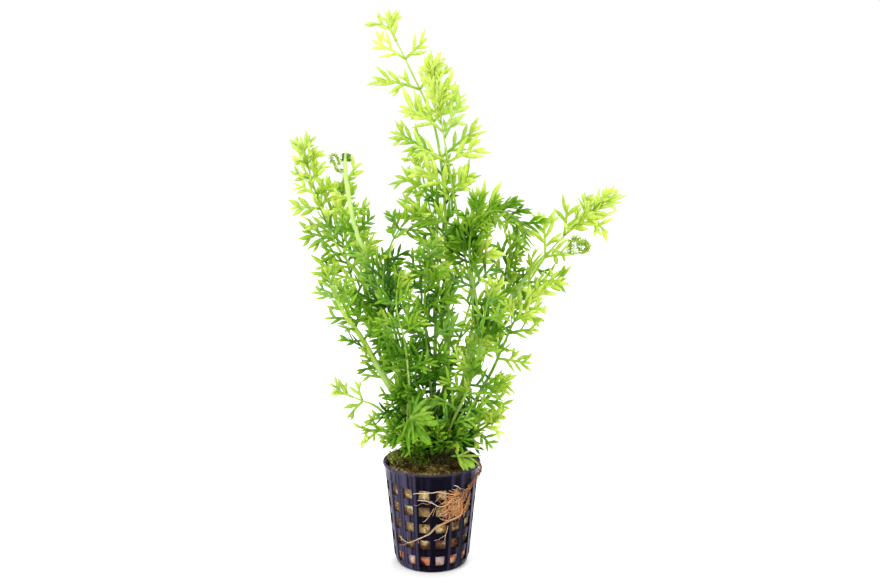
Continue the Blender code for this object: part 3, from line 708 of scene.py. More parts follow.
def buildCrown():
    draw = random.Random(11)
    crown = newSheet()
    foot = up * woolLook["top"]
    made = bmesh.ops.create_uvsphere(crown, u_segments=40, v_segments=24, radius=1.0)["verts"]
    bmesh.ops.scale(crown, verts=made, vec=(crownLook["radius"], crownLook["radius"], crownLook["height"]))
    bmesh.ops.translate(crown, verts=made, vec=foot)
    bmesh.ops.bisect_plane(crown, geom=crown.verts[:] + crown.edges[:] + crown.faces[:],
                           plane_co=foot - up * 0.4 * mm, plane_no=-up, clear_outer=True)
    bmesh.ops.contextual_create(crown, geom=[edge for edge in crown.edges if edge.is_boundary])
    for vert in crown.verts:
        lump = noise.noise(vert.co * 500.0) + 0.5 * noise.noise(vert.co * 1300.0)
        vert.co += (vert.co - foot).normalized() * lump * crownLook["lumps"]
    markVerts(crown, crown.verts[:], age=0.05, rib=1.0)
    for _ in range(crownLook["scales"]):
        radius = crownLook["radius"] * math.sqrt(draw.uniform(0.05, 1.1))
        turn = draw.uniform(-180.0, 180.0)
        base = around(radius, turn, foot.z + crownHeight(radius) - 0.2 * mm)
        way = around(1.0, turn + draw.uniform(-60, 60), draw.uniform(-1.1, 1.2)).normalized()
        addSpike(crown, base, way, draw.uniform(*crownLook["scaleLength"]),
                 crownLook["scaleWidth"] * draw.uniform(0.4, 1.0), draw.uniform(-0.1, 0.4))
    finishPiece(crown, "crownStock", mossMaterial, ["crown"])
    print("crown built")


# the fronds

frondLook = {
    "stalkRadius": 1.38 * mm, "stalkTaper": 0.4, "midribRadius": 0.62 * mm, "stalkRidge": 0.07,
    "stalkSides": 12, "stalkStep": 5.0 * mm, "stalkTone": 0.3, "clearance": 0.35 * mm,
    "pinnaAngle": 52.0, "lobeAngle": 44.0, "lobeShare": 0.48, "droop": 0.12, "smallestPinna": 5.0 * mm,
    "threeLobesFrom": 10.0 * mm, "fiveLobesFrom": 21.5 * mm, "swing": 13.0, "tipLength": 14.0,
    "naturalLeans": (26, -20, 12, -32), "leans": (0, 24, -24, 48, -48, 70, -70),
    "shortenings": (1.0, 0.8, 0.62, 0.45), "stalkReach": 1.9 * mm, "bladeReach": 1.0 * mm,
    "ownBaseReach": 5.0 * mm, "sampleStep": 1.6 * mm,
    "extraBreadth": 0.85, "extraStep": 8.5 * mm, "extraReach": 0.35 * mm, "extraLeans": (-14, 34, -40, 8, 22),
    "extraTurns": (0, 30, -30, 60, -60), "extraShortenings": (1.0, 0.75, 0.5), "shortestExtra": 13.0,
}
inner, outer, wholeTip = crownLook["innerRing"], crownLook["outerRing"], 0.965

# name, ring and turn on the crown, points of the stalk and midrib in mm, leafy stretch, pairs of
# pinnae, longest pinna in mm, the way the blade faces, tone from 0 deep to 1 lime, breadth of the lobes
frondKeys = ("name", "ring", "turn", "points", "leafy", "pairs", "reach", "facing", "tone", "breadth")
fronds = [dict(zip(frondKeys, row)) for row in (
    ("frond_tall", 0.0, 0, ((4, 1, 82), (8, 3, 104), (8, 6, 154), (6, 8, 198), (1, 9, 229), (-10, 10, 254),
     (-24, 10, 282)), (0.46, wholeTip), 7, 27, (0.2, -1.0, 0.3), 0.62, 0.95),
    ("frond_bright", inner, 77, ((10, -3, 80), (15, -6, 95), (21, -9, 135), (15, -6, 172), (10, -5, 201),
     (4, -4, 236), (0, -2, 260)), (0.48, wholeTip), 7, 25, (-0.2, -1.0, 0.2), 0.70, 1.3),
    ("frond_arching", inner, 26, ((8, -8, 80), (18, -13, 104), (23, -15, 132), (19, -12, 164), (21, -14, 181),
     (30, -20, 188), (40, -25, 186), (47, -28, 176)), (0.56, wholeTip), 5, 19, (0.3, -0.8, 0.5), 0.36, 0.85),
    ("frond_right", inner, 128, ((9, 3, 79), (14, 5, 90), (21, 8, 107), (33, 12, 126), (50, 12, 147),
     (62, 10, 165), (80, 5, 184), (91, 2, 194)), (0.48, wholeTip), 6, 23, (-0.4, -0.9, 0.4), 0.62, 1.2),
    ("frond_right_curled", outer, 135, ((13, 11, 78), (20, 16, 96), (38, 21, 131), (54, 21, 153),
     (64, 22, 163), (73, 23, 166), (79, 24, 161), (76, 24, 155), (71, 24, 158)), (0.50, 0.74), 3, 15,
     (-0.5, -0.8, 0.3), 0.45, 1.0),
    ("frond_right_back", outer, 157.5, ((11, 15, 76), (22, 23, 95), (33, 29, 115), (38, 31, 137),
     (40, 29, 155), (46, 27, 168)), (0.46, wholeTip), 4, 23, (-0.3, -0.8, 0.6), 0.40, 0.85),
    ("frond_right_inner", outer, 90, ((19, -4, 78), (24, -13, 94), (30, -19, 107), (37, -23, 125),
     (42, -23, 136), (54, -19, 152)), (0.42, wholeTip), 5, 21, (-0.2, -1.0, 0.4), 0.52, 0.85),
    ("frond_right_low", outer, 67.5, ((19, -8, 70), (27, -12, 76), (35, -15, 84)), (0.40, wholeTip), 3, 13,
     (0.0, -0.8, 0.7), 0.62, 1.0),
    ("frond_right_side", outer, 112.5, ((17, 5, 72), (25, 7, 82), (32, 9, 90), (40, 10, 99)),
     (0.36, wholeTip), 4, 15, (0.0, -0.7, 0.8), 0.42, 0.85),
    ("frond_left", outer, -112.5, ((-14, 7, 82), (-24, 12, 120), (-37, 14, 148), (-49, 13, 166),
     (-58, 11, 190), (-66, 9, 221)), (0.45, wholeTip), 6, 23, (0.4, -0.9, 0.3), 0.60, 1.35),
    ("frond_left_back", outer, -135, ((-15, 14, 90), (-30, 23, 119), (-41, 27, 142), (-47, 27, 167),
     (-47, 24, 197)), (0.48, wholeTip), 4, 20, (0.3, -0.9, 0.3), 0.46, 0.85),
    ("frond_left_curled", inner, -128, ((-7, 1, 80), (-14, -2, 101), (-22, -6, 128), (-32, -9, 161),
     (-38, -9, 179), (-42, -8, 202), (-42, -8, 212), (-39, -8, 216), (-36, -8, 212), (-38, -8, 208)),
     (0.62, 0.84), 3, 13, (0.2, -1.0, 0.2), 0.55, 1.0),
    ("frond_left_low", inner, -77, ((-10, -5, 76), (-17, -12, 91), (-26, -18, 108), (-35, -22, 126),
     (-45, -23, 141), (-52, -20, 160)), (0.48, wholeTip), 5, 22, (0.3, -0.9, 0.4), 0.40, 0.9),
    ("frond_left_rim", outer, -67.5, ((-18, -9, 74), (-27, -14, 87), (-36, -17, 92), (-48, -19, 98)),
     (0.45, wholeTip), 3, 14, (0.2, -0.8, 0.6), 0.62, 1.0),
    ("frond_left_side", outer, -90, ((-18, -1, 69), (-27, -3, 72), (-37, -5, 72)), (0.36, wholeTip), 3, 12,
     (0.1, -0.7, 0.8), 0.42, 0.8),
    ("frond_front_thin", outer, -45, ((-12, -17, 80), (-11, -26, 102), (-13, -30, 125), (-17, -29, 143),
     (-15, -25, 160)), (0.52, wholeTip), 4, 18, (0.0, -1.0, 0.3), 0.34, 0.78),
    ("frond_front_broad", outer, -22.5, ((-6, -17, 80), (-9, -27, 91), (-10, -33, 89), (-11, -37, 80),
     (-11, -38, 67)), (0.52, 0.93), 3, 12, (-0.1, -1.0, 0.2), 0.5, 1.0),
    ("frond_front", outer, 0, ((0, -15, 86), (-1, -20, 108), (-3, -21, 130), (-3, -19, 152), (0, -18, 174)),
     (0.38, wholeTip), 5, 25, (0.1, -1.0, 0.3), 0.34, 0.92),
    ("frond_front_right", outer, 22.5, ((10, -19, 80), (18, -27, 100), (23, -31, 120), (26, -31, 138),
     (30, -29, 156)), (0.42, wholeTip), 4, 20, (0.2, -1.0, 0.2), 0.42, 0.85),
    ("frond_over_rim", outer, 45, ((13, -14, 67), (17, -21, 64), (21, -26, 57)), (0.42, wholeTip), 2, 9,
     (0.3, -0.7, 0.6), 0.50, 1.0),
    ("frond_middle", inner, -26, ((-6, -10, 82), (-12, -14, 104), (-19, -16, 130), (-24, -16, 152),
     (-20, -13, 170), (-13, -10, 181), (-5, -7, 188)), (0.42, wholeTip), 5, 24, (-0.1, -1.0, 0.4), 0.32,
     0.92),
    ("frond_back", inner, 180, ((1, 12, 84), (2, 24, 120), (3, 33, 156), (-2, 38, 186), (-8, 40, 212)),
     (0.40, wholeTip), 6, 26, (0.1, 0.9, 0.4), 0.42, 1.0),
    ("frond_back_right", outer, 180, ((5, 20, 78), (12, 34, 102), (20, 46, 126), (25, 53, 148)),
     (0.36, wholeTip), 4, 23, (0.2, 0.7, 0.7), 0.50, 1.0),
    ("frond_back_left", outer, -157.5, ((-9, 19, 78), (-15, 32, 104), (-23, 43, 130), (-29, 48, 158)),
     (0.36, wholeTip), 4, 24, (-0.2, 0.8, 0.6), 0.44, 1.0),
)]
slots = dict.fromkeys(("frond_bright", "frond_right", "frond_right_low", "frond_left_rim", "frond_front_broad"),
                      "leaf_young")
slots.update(dict.fromkeys(("frond_front", "frond_middle", "frond_back", "frond_arching"), "leaf_deep"))

# share of the length from which smaller pinnae fill the gaps, in the order in which they grow; a frond that
# isn't named has them on its leafy part only
extraFrom = {
    "frond_arching": 0.4, "frond_front": 0.07, "frond_middle": 0.1, "frond_front_right": 0.1,
    "frond_front_thin": 0.14, "frond_right_inner": 0.12, "frond_over_rim": 0.15, "frond_left_rim": 0.16,
    "frond_left_side": 0.2, "frond_right_low": 0.2, "frond_right_side": 0.2, "frond_left_low": 0.2,
    "frond_bright": 0.26, "frond_right": 0.26, "frond_right_curled": 0.5, "frond_right_back": 0.42,
    "frond_left": 0.36, "frond_left_back": 0.45, "frond_tall": 0.24, "frond_back": 0.2,
    "frond_back_right": 0.3, "frond_back_left": 0.36,
}
extraTo = {"frond_tall": 0.45, "frond_bright": 0.56, "frond_right": 0.55}  # share at which they stop again

# openings through the plant as seen from the front: x and z in mm of the middle, and radius
openings = (
    (14.4, 157.3, 3.5), (15.0, 140.8, 4.5), (15.0, 125.7, 4.5), (24.6, 155.3, 3.5), (24.1, 145.0, 3.0),
    (11.0, 103.6, 2.5), (31.0, 106.3, 3.5), (-25.1, 96.7, 5.0), (-27.0, 167.6, 3.0), (-13.3, 170.6, 5.0),
    (-10.4, 161.4, 3.0), (-51.9, 124.2, 6.0), (-47.1, 108.4, 6.0), (-42.2, 89.8, 4.5), (45.3, 116.3, 5.0),
    (43.5, 95.1, 7.0), (-30.9, 81.8, 3.5), (37.5, 130.4, 2.5), (-13.0, 234.5, 5.0), (-14.6, 215.8, 3.0),
    (19.3, 208.4, 4.5), (36.8, 200.9, 6.0), (-22.7, 259.8, 5.0), (75.4, 169.1, 6.5), (19.5, 147.6, 3.0),
)

# breadth of the lobes at the frond's end (otherwise 1), and length in mm of the small blade that it ends in
tipBreadth = {"frond_right": 1.4, "frond_left": 1.25, "frond_bright": 1.2, "frond_right_low": 1.2,
              "frond_left_rim": 1.2}
tipLengths = {"frond_tall": 15.0, "frond_right": 23.0, "frond_left": 15.0, "frond_bright": 16.0,
              "frond_over_rim": 10.0, "frond_left_side": 10.0, "frond_left_rim": 10.0}

# how thick a stalk is (otherwise 1), and how pale
stalkBreadth = {"frond_bright": 0.65, "frond_right": 0.75, "frond_left_low": 1.5, "frond_front_thin": 0.62,
                "frond_front_right": 0.72, "frond_front": 0.8, "frond_middle": 0.8, "frond_front_broad": 0.8}
stalkTones = {"frond_left": 0.5, "frond_right": 0.55, "frond_left_back": 0.45, "frond_left_low": 0.62,
              "frond_left_curled": 0.95, "frond_left_rim": 0.6, "frond_right_curled": 0.6, "frond_bright": 0.55,
              "frond_tall": 0.55, "frond_front_thin": 0.45, "frond_arching": 0.4}

# small leaves crowded round a stalk: frond, share of its length from and to, number, length in mm, tone, and
# how far they sweep towards the tip
clusters = (
    ("frond_right", 0.80, 0.97, 12, 12, 0.80, 1.0), ("frond_left", 0.70, 0.94, 14, 11, 0.78, 0.5),
    ("frond_arching", 0.58, 0.97, 24, 12, 0.40, 0.1), ("frond_bright", 0.51, 0.56, 10, 12, 0.16, 0.0),
    ("frond_bright", 0.84, 0.97, 18, 11, 0.84, 0.6), ("frond_bright", 0.62, 0.82, 4, 10, 0.66, 0.5),
    ("frond_right_back", 0.74, 0.96, 8, 15, 0.42, 0.2), ("frond_middle", 0.5, 0.8, 14, 15, 0.18, 0.0),
    ("frond_left_low", 0.8, 0.97, 6, 9, 0.42, 0.2), ("frond_right_inner", 0.75, 0.97, 8, 12, 0.66, 0.5),
    ("frond_left_back", 0.75, 0.97, 8, 11, 0.5, 0.3), ("frond_right_low", 0.7, 0.97, 6, 8, 0.7, 0.4),
    ("frond_left_rim", 0.82, 0.97, 8, 8, 0.64, 0.3), ("frond_left_curled", 0.60, 0.72, 6, 7, 0.5, 0.2),
    ("frond_tall", 0.57, 0.64, 4, 12, 0.52, 0.2), ("frond_tall", 0.47, 0.56, 6, 12, 0.34, 0.2),
)

# where the tips of single pinnae stand, in mm, by their number on the frond
pinnaTips = {
    "frond_tall": {1: (-14.9, 4, 183.8), 2: (21.9, 4, 205.5), 3: (-20.4, 6, 199.3), 4: (26.7, 4, 227.0),
     5: (-21.3, 8, 224.7), 6: (14.8, 8, 245.1), 7: (-13.8, 10, 236.1), 9: (-29.7, 10, 251.4),
     10: (-1.2, 9, 269.5), 11: (-30.5, 11, 270.0), 12: (-16.0, 9, 282.1), 13: (-31.9, 10, 279.2)},
    "frond_bright": {2: (35.2, -12, 193.7), 3: (-16.7, -2, 186.1), 4: (19.9, -15, 205.3),
     5: (-8.6, -4, 209.7), 6: (26.3, -10, 219.0), 7: (-10.6, -2, 217.5), 8: (16.5, -8, 243.1),
     9: (-13.5, 2, 241.3), 10: (13.5, -7, 251.2), 11: (-7.1, 3, 254.0)},
    "frond_right": {4: (67.6, -4, 163.6), 5: (56.7, 8, 184.3), 6: (83.9, -2, 183.6), 7: (70.3, 8, 190.5),
     8: (88.9, -4, 174.8), 9: (78.8, 4, 194.5)},
}

# single leaves: frond, share of its length, turn from straight up towards the right and lean towards the
# front in degrees, length in mm, breadth, tone
singleLeaves = (
    ("frond_left_curled", 0.845, 29, 0, 12.5, 1.0, 0.62), ("frond_left_curled", 0.76, 70, 0, 7.0, 0.9, 0.55),
    ("frond_left_curled", 0.68, 62, 10, 8.0, 0.9, 0.50), ("frond_left_low", 0.36, 80, 50, 13.0, 1.1, 0.34),
    ("frond_left_low", 0.30, -60, 30, 12.0, 1.0, 0.40), ("frond_left_low", 0.42, -75, 20, 12.0, 1.0, 0.46),
    ("frond_left_low", 0.24, 40, 40, 14.0, 1.1, 0.38), ("frond_left_low", 0.50, -40, 30, 13.0, 1.0, 0.48),
    ("frond_left_low", 0.47, 60, 40, 12.0, 1.0, 0.36),
)


class FreeLeaf:
    # a small leaf that stands by itself
    def __init__(self, base, along, wide, length, droop):
        self.base, self.along, self.wide, self.length, self.droop = base, along, wide, length, droop

    def place(self, share):
        return self.base + self.length * (self.along * share - up * self.droop * share**2)


def frondRoute(plant):
    # out of the crown square to its surface, then through the frond's points
    height = crownHeight(plant["ring"])
    base = around(plant["ring"], plant["turn"], woolLook["top"] + height)
    slope = plant["ring"] / crownLook["radius"] ** 2
    outward = around(slope, plant["turn"], height / crownLook["height"] ** 2).normalized()
    start = base + outward * (frondLook["clearance"] + 0.2 * mm)
    return Route([start, start + outward * 4.0 * mm, *(Vector(point) * mm for point in plant["points"])])


def bladeAxes(route, share, facing):
    forward = route.direction(share)
    across = forward.cross(facing).normalized()
    return forward, across, across.cross(forward).normalized()


def pinnaPlaces(plant):
    places = []
    first, last = plant["leafy"]
    for rank in evenShares(plant["pairs"] - 1):
        share = first + (last - first) * rank**0.85
        length = plant["reach"] * mm * (0.6 + 0.4 * math.sin(math.pi * (0.3 + rank * 0.7)))
        length *= 1.0 - 0.45 * rank**1.5
        places += [(share, 1, length), (share, -1, length * 0.93)]
    return places


class Pinna:
    # one leaflet's place, way and length, and the lobes that the plain solid gives it
    def __init__(self, route, plant, share, side, length, lean):
        self.share, self.side, self.length = share, side, length
        forward, across, normal = bladeAxes(route, share, Vector(plant["facing"]))
        angle, tilt = math.radians(frondLook["pinnaAngle"]), math.radians(lean)
        sideways = across * side * math.cos(tilt) + normal * math.sin(tilt)
        self.along = (forward * math.cos(angle) + sideways * math.sin(angle)).normalized()
        self.wide = (forward - self.along * forward.dot(self.along)).normalized()
        self.base = route.at(share)

    def place(self, share):
        return self.base + self.length * (self.along * share - up * frondLook["droop"] * share**2)

    def squareUp(self):
        self.wide = (self.wide - self.along * self.wide.dot(self.along)).normalized()

    def swing(self, draw):
        # turns the leaflet a little about its base
        for axis in (self.wide, self.along.cross(self.wide)):
            turn = math.radians(draw.uniform(-frondLook["swing"], frondLook["swing"]))
            self.along = (Matrix.Rotation(turn, 3, axis) @ self.along).normalized()
        self.squareUp()

    def aimAt(self, tip):
        # turns and stretches the leaflet so that it ends there
        reach = tip - self.base
        self.length = reach.length
        self.along = (reach / self.length + up * frondLook["droop"]).normalized()
        self.squareUp()

    def samples(self):
        lines = [(self.base + self.along * 2 * mm, self.place(1.0))]
        angle = math.radians(frondLook["lobeAngle"])
        stations = ()
        if self.length >= frondLook["fiveLobesFrom"]:
            stations = ((0.36, 0.58), (0.58, 0.78))
        elif self.length >= frondLook["threeLobesFrom"]:
            stations = ((0.42, 0.72),)
        for start, end in stations:
            middle = (start + end) / 2
            size = self.length * frondLook["lobeShare"] * (1.15 - 0.5 * middle)
            for side in (1, -1):
                reach = self.along * math.cos(angle) + self.wide * side * math.sin(angle)
                tip = self.place(middle) + reach * size
                lines += [(self.place(start), tip), (self.place(end), tip)]
        points = []
        for start, end in lines:
            count = max(1, round((end - start).length / frondLook["sampleStep"]))
            points += [start.lerp(end, share) for share in evenShares(count)]
        return points


class Crowd:
    # where everything that has grown so far is, with how far it reaches round each point
    def __init__(self):
        self.owners = np.zeros(0, int)
        self.points = np.zeros((0, 3))
        self.reaches = np.zeros(0)

    def add(self, owner, points, reach):
        self.owners = np.append(self.owners, np.full(len(points), owner))
        self.points = np.vstack([self.points, np.array(points)])
        self.reaches = np.append(self.reaches, np.full(len(points), reach))

    def clearOf(self, owner, points, base, length, reach):
        fromBase = np.linalg.norm(self.points - np.array(base), axis=1)
        others = ~((self.owners == owner) & (fromBase < frondLook["ownBaseReach"]))
        others &= fromBase < length * 1.5 + 6 * mm
        apart = np.linalg.norm(np.array(points)[:, None] - self.points[others][None], axis=2)
        return bool((apart > self.reaches[others] + reach).all())


def aboveThePot(points):
    lowest, outside = potLook["height"] + 4 * mm, potLook["rimRadius"] + 2 * mm
    return all(point.z > lowest or point.xy.length > outside for point in points)


def inOpening(points):
    # whether anything there would close an opening, seen from the photo's camera
    eye = Vector(cameraLook["place"])
    for x, z, radius in openings:
        sight = (Vector((x, 0.0, z)) * mm - eye).normalized()
        for point in points:
            reach = point - eye
            if (reach - sight * reach.dot(sight)).length < radius * mm:
                return True
    return False


def fitPinna(owner, plant, crowd, spot, options, reach, keepOpen=False):
    # takes the first lean and length that keep clear of everything that has grown, if any does
    share, side, length = spot
    for lean, short in options:
        if length * short < frondLook["smallestPinna"]:
            continue
        pinna = Pinna(crowd.routes[owner], plant, share, side, length * short, lean)
        points = pinna.samples()
        if aboveThePot(points) and crowd.clearOf(owner, points, pinna.base, pinna.length, reach):
            if not (keepOpen and inOpening(points)):
                crowd.add(owner, points, reach)
                return [pinna]
    return []


def growPinnae(owner, plant, crowd):
    # each pinna leans out of its neighbours' way, or stays short, as the solids do
    found = []
    for number, spot in enumerate(pinnaPlaces(plant)):
        natural = frondLook["naturalLeans"][number % len(frondLook["naturalLeans"])]
        options = [(natural + lean, short) for short in frondLook["shortenings"] for lean in frondLook["leans"]]
        found += fitPinna(owner, plant, crowd, spot, options, frondLook["bladeReach"])
    return found


def growExtras(owner, plant, crowd):
    # shorter pinnae between the frond's main ones and down its stalk, wherever there is room
    found = []
    first, last = plant["leafy"]
    step = frondLook["extraStep"] / crowd.routes[owner].length
    lowest = extraFrom.get(plant["name"], first)
    for number in range(int((last - lowest) / step) + 1):
        share = lowest + step * (number + 0.5)
        for side in (1, -1):
            near = [pinna for pinna in crowd.pinnae[owner]
                    if pinna.side == side and abs(pinna.share - share) < step * 0.55]
            if near or share > min(last, extraTo.get(plant["name"], 1.0)):
                continue
            rank = max(0.0, (share - first) / (last - first))
            length = max(plant["reach"] * 0.8, frondLook["shortestExtra"]) * mm * (1.0 - 0.5 * rank**1.5)
            lean = frondLook["extraLeans"][(2 * number + side) % len(frondLook["extraLeans"])]
            options = [(lean + turn, short) for short in frondLook["extraShortenings"]
                       for turn in frondLook["extraTurns"]]
            found += fitPinna(owner, plant, crowd, (share, side, length), options, frondLook["extraReach"],
                              True)
    return found


# the leafy blades: a leaflet is a slim midrib with lobes to the left and right in turn

bladeLook = {
    "thickness": 0.42 * mm, "ribWidth": 1.5 * mm, "firstLobe": 0.2, "lobedShare": 0.62, "lobeSpacing": 5.4 * mm,
    "mostLobes": 5, "lobeWidth": 2.1 * mm, "lobeSlimness": 0.39, "longestLobe": 10.0 * mm,
    "lobeAngles": (30.0, 46.0), "forked": 0.45, "forksFrom": 7.5 * mm, "endLobe": 4.0 * mm, "roll": 34.0,
}
# share of a lobe's or a finger's length, and its width there
lobeShape = ((0.1, 0.66), (0.28, 0.88), (0.48, 1.0), (0.68, 0.74), (0.86, 0.36), (1.0, 0.03))
fingerShape = ((0.1, 0.4), (0.26, 0.5), (0.44, 0.72), (0.62, 0.96), (0.78, 1.0), (0.9, 0.66), (1.0, 0.12))


def pullEdge(sheet, edge, middle, across, width):
    # extrudes the edge to a new middle and width, and gives the new edge and the face between
    known = set(edge.link_faces)
    centre = (edge.verts[0].co + edge.verts[1].co) / 2
    verts, _ = pullOut(sheet, [edge])
    rib = sheet.verts.layers.float["rib"]
    for vert in verts:
        side = 1 if (vert.co - centre).dot(across) > 0 else -1
        vert.co = middle + across * side * width / 2
        vert[rib] = side
    far = next(link for link in verts[0].link_edges if verts[1] in link.verts)
    face = next(face for face in edge.link_faces if face not in known)
    return far, face


def startEdge(sheet, corners, age):
    # the edge that a blade grows from, with its rib value from -1 to 1
    edge = sheet.edges.new([sheet.verts.new(corner) for corner in corners])
    for vert, rib in zip(edge.verts, (-1.0, 1.0)):
        markVerts(sheet, [vert], age=age, rib=rib)
    return edge


def finishSheet(piece, sheet, thickness):
    # gives a sheet its thickness, closed round its edge, and adds it to the piece
    bmesh.ops.recalc_face_normals(sheet, faces=sheet.faces)
    sheet.normal_update()
    for vert in onlyVerts(bmesh.ops.extrude_face_region(sheet, geom=sheet.faces[:])["geom"]):
        vert.co -= vert.normal * thickness
    bmesh.ops.recalc_face_normals(sheet, faces=sheet.faces)
    attach(piece, sheet)


def sideEdge(face, near, far, toward):
    # the edge of a strip's face, between its ends, that lies that way
    loose = [edge for edge in face.edges if edge not in (near, far)]
    return max(loose, key=lambda edge: (edge.verts[0].co + edge.verts[1].co).dot(toward))


def growLobe(sheet, edge, axis, normal, length, width, arch, age, fork, draw, shape=lobeShape):
    # a spindle-shaped lobe that arches out of the blade's plane, some of them forked
    root = (edge.verts[0].co + edge.verts[1].co) / 2
    across = axis.cross(normal).normalized()
    across = (across + normal * draw.uniform(-0.55, 0.55)).normalized()
    bend = across * draw.uniform(-0.2, 0.2)
    last = edge
    for number, (share, part) in enumerate(shape):
        middle = root + axis * length * share + (normal * arch + bend) * length * share**2
        far, face = pullEdge(sheet, last, middle, across, width * part)
        markVerts(sheet, far.verts, age=min(1.0, age + 0.16 * share))
        if fork and number == 2:
            side = draw.choice((1, -1))
            stem = sideEdge(face, last, far, across * side)
            away = (axis * 0.85 + across * side * 0.55).normalized()
            growLobe(sheet, stem, away, normal, length * draw.uniform(0.42, 0.58), width * 0.8, arch,
                     age + 0.06, False, draw)
        last = far


def growBlade(piece, leaf, breadth, age, draw):
    # a leaflet, rolled a little about its midrib, with one lobe at its end
    look, length = bladeLook, leaf.length
    width, lobeWidth = look["ribWidth"], look["lobeWidth"] * breadth
    first, span = look["firstLobe"], look["lobedShare"]
    normal = leaf.along.cross(leaf.wide).normalized()
    roll = math.radians(draw.uniform(-look["roll"], look["roll"]))
    wide = leaf.wide * math.cos(roll) + normal * math.sin(roll)
    normal = leaf.along.cross(wide).normalized()
    curl = normal * draw.uniform(-0.2, 0.2) + wide * draw.uniform(-0.12, 0.16)

    def place(share):
        return leaf.place(share) + curl * length * share**2

    spacing = look["lobeSpacing"] * min(1.0, breadth)
    count = 2 * max(1, min(look["mostLobes"], round(length * span / spacing)))
    half = min(0.34 * span / count, 0.95 * mm * breadth / length)
    sheet = newSheet()
    edge = startEdge(sheet, [leaf.base - wide * width * 0.36, leaf.base + wide * width * 0.36], age)
    side = draw.choice((1, -1))
    for index in range(count):
        middle = first + span * (index + 0.5 + draw.uniform(-0.12, 0.12)) / count
        taper = width * (1.0 - 0.35 * middle)
        edge, _ = pullEdge(sheet, edge, place(middle - half), wide, taper)
        far, face = pullEdge(sheet, edge, place(middle + half), wide, taper * 0.96)
        here = min(1.0, age + 0.12 * middle)
        markVerts(sheet, [*edge.verts, *far.verts], age=here)
        size = length * frondLook["lobeShare"] * (1.3 - 0.5 * middle) * draw.uniform(0.78, 1.22)
        size = min(size * (1.1 if side > 0 else 0.9), draw.uniform(0.8, 1.1) * look["longestLobe"] * breadth)
        angle = math.radians(draw.uniform(*look["lobeAngles"]) + 12.0 * (0.5 - middle))
        axis = leaf.along * math.cos(angle) + wide * side * math.sin(angle)
        stem = sideEdge(face, edge, far, wide * side)
        fork = size > look["forksFrom"] and draw.random() < look["forked"] and breadth < 1.5
        slim = min(lobeWidth, size * look["lobeSlimness"]) * draw.uniform(0.8, 1.15)
        growLobe(sheet, stem, axis, normal, size, slim, draw.uniform(-0.2, 0.28), here, fork, draw)
        edge, side = far, -side
    rest = max(length * (1.04 - first - span), look["endLobe"])
    growLobe(sheet, edge, (place(1.0) - place(0.9)).normalized(), normal, rest, min(lobeWidth, rest * 0.4),
             draw.uniform(-0.12, 0.16), min(1.0, age + 0.15), False, draw)
    finishSheet(piece, sheet, look["thickness"])


class TipLeaf:
    # the frond's own end, which carries lobes as a pinna does
    def __init__(self, route, plant, start):
        self.route, self.start, self.base = route, start, route.at(start)
        self.along = (route.at(1.0) - self.base).normalized()
        self.wide = bladeAxes(route, start, Vector(plant["facing"]))[1]
        self.length = route.length * (1.0 - start)

    def place(self, share):
        return self.route.at(self.start + (1.0 - self.start) * share)


def growSingleLeaves(sheet, plant, route, draw):
    for name, share, turn, lean, length, breadth, tone in singleLeaves:
        if name == plant["name"]:
            turn, lean = math.radians(turn), math.radians(lean)
            along = Vector((math.sin(turn) * math.cos(lean), -math.sin(lean), math.cos(turn) * math.cos(lean)))
            wide = along.cross(Vector((0, -1, 0.3)).normalized()).normalized()
            growBlade(sheet, FreeLeaf(route.at(share), along, wide, length * mm, 0.1), breadth, tone, draw)


def growClusters(plant, route, draw):
    # small leaves that stand every way out of the stalk
    found = []
    for name, first, last, count, length, tone, sweep in clusters:
        for number in range(count if name == plant["name"] else 0):
            share = first + (last - first) * (number + draw.random()) / count
            size = length * mm * draw.uniform(0.7, 1.2)
            pinna = Pinna(route, plant, share, 1 if number % 2 else -1, size, draw.uniform(-85.0, 85.0))
            pinna.aimAt(pinna.base + (pinna.along + route.direction(share) * sweep).normalized() * size)
            found.append((pinna, tone + draw.uniform(-0.1, 0.12)))
    return found


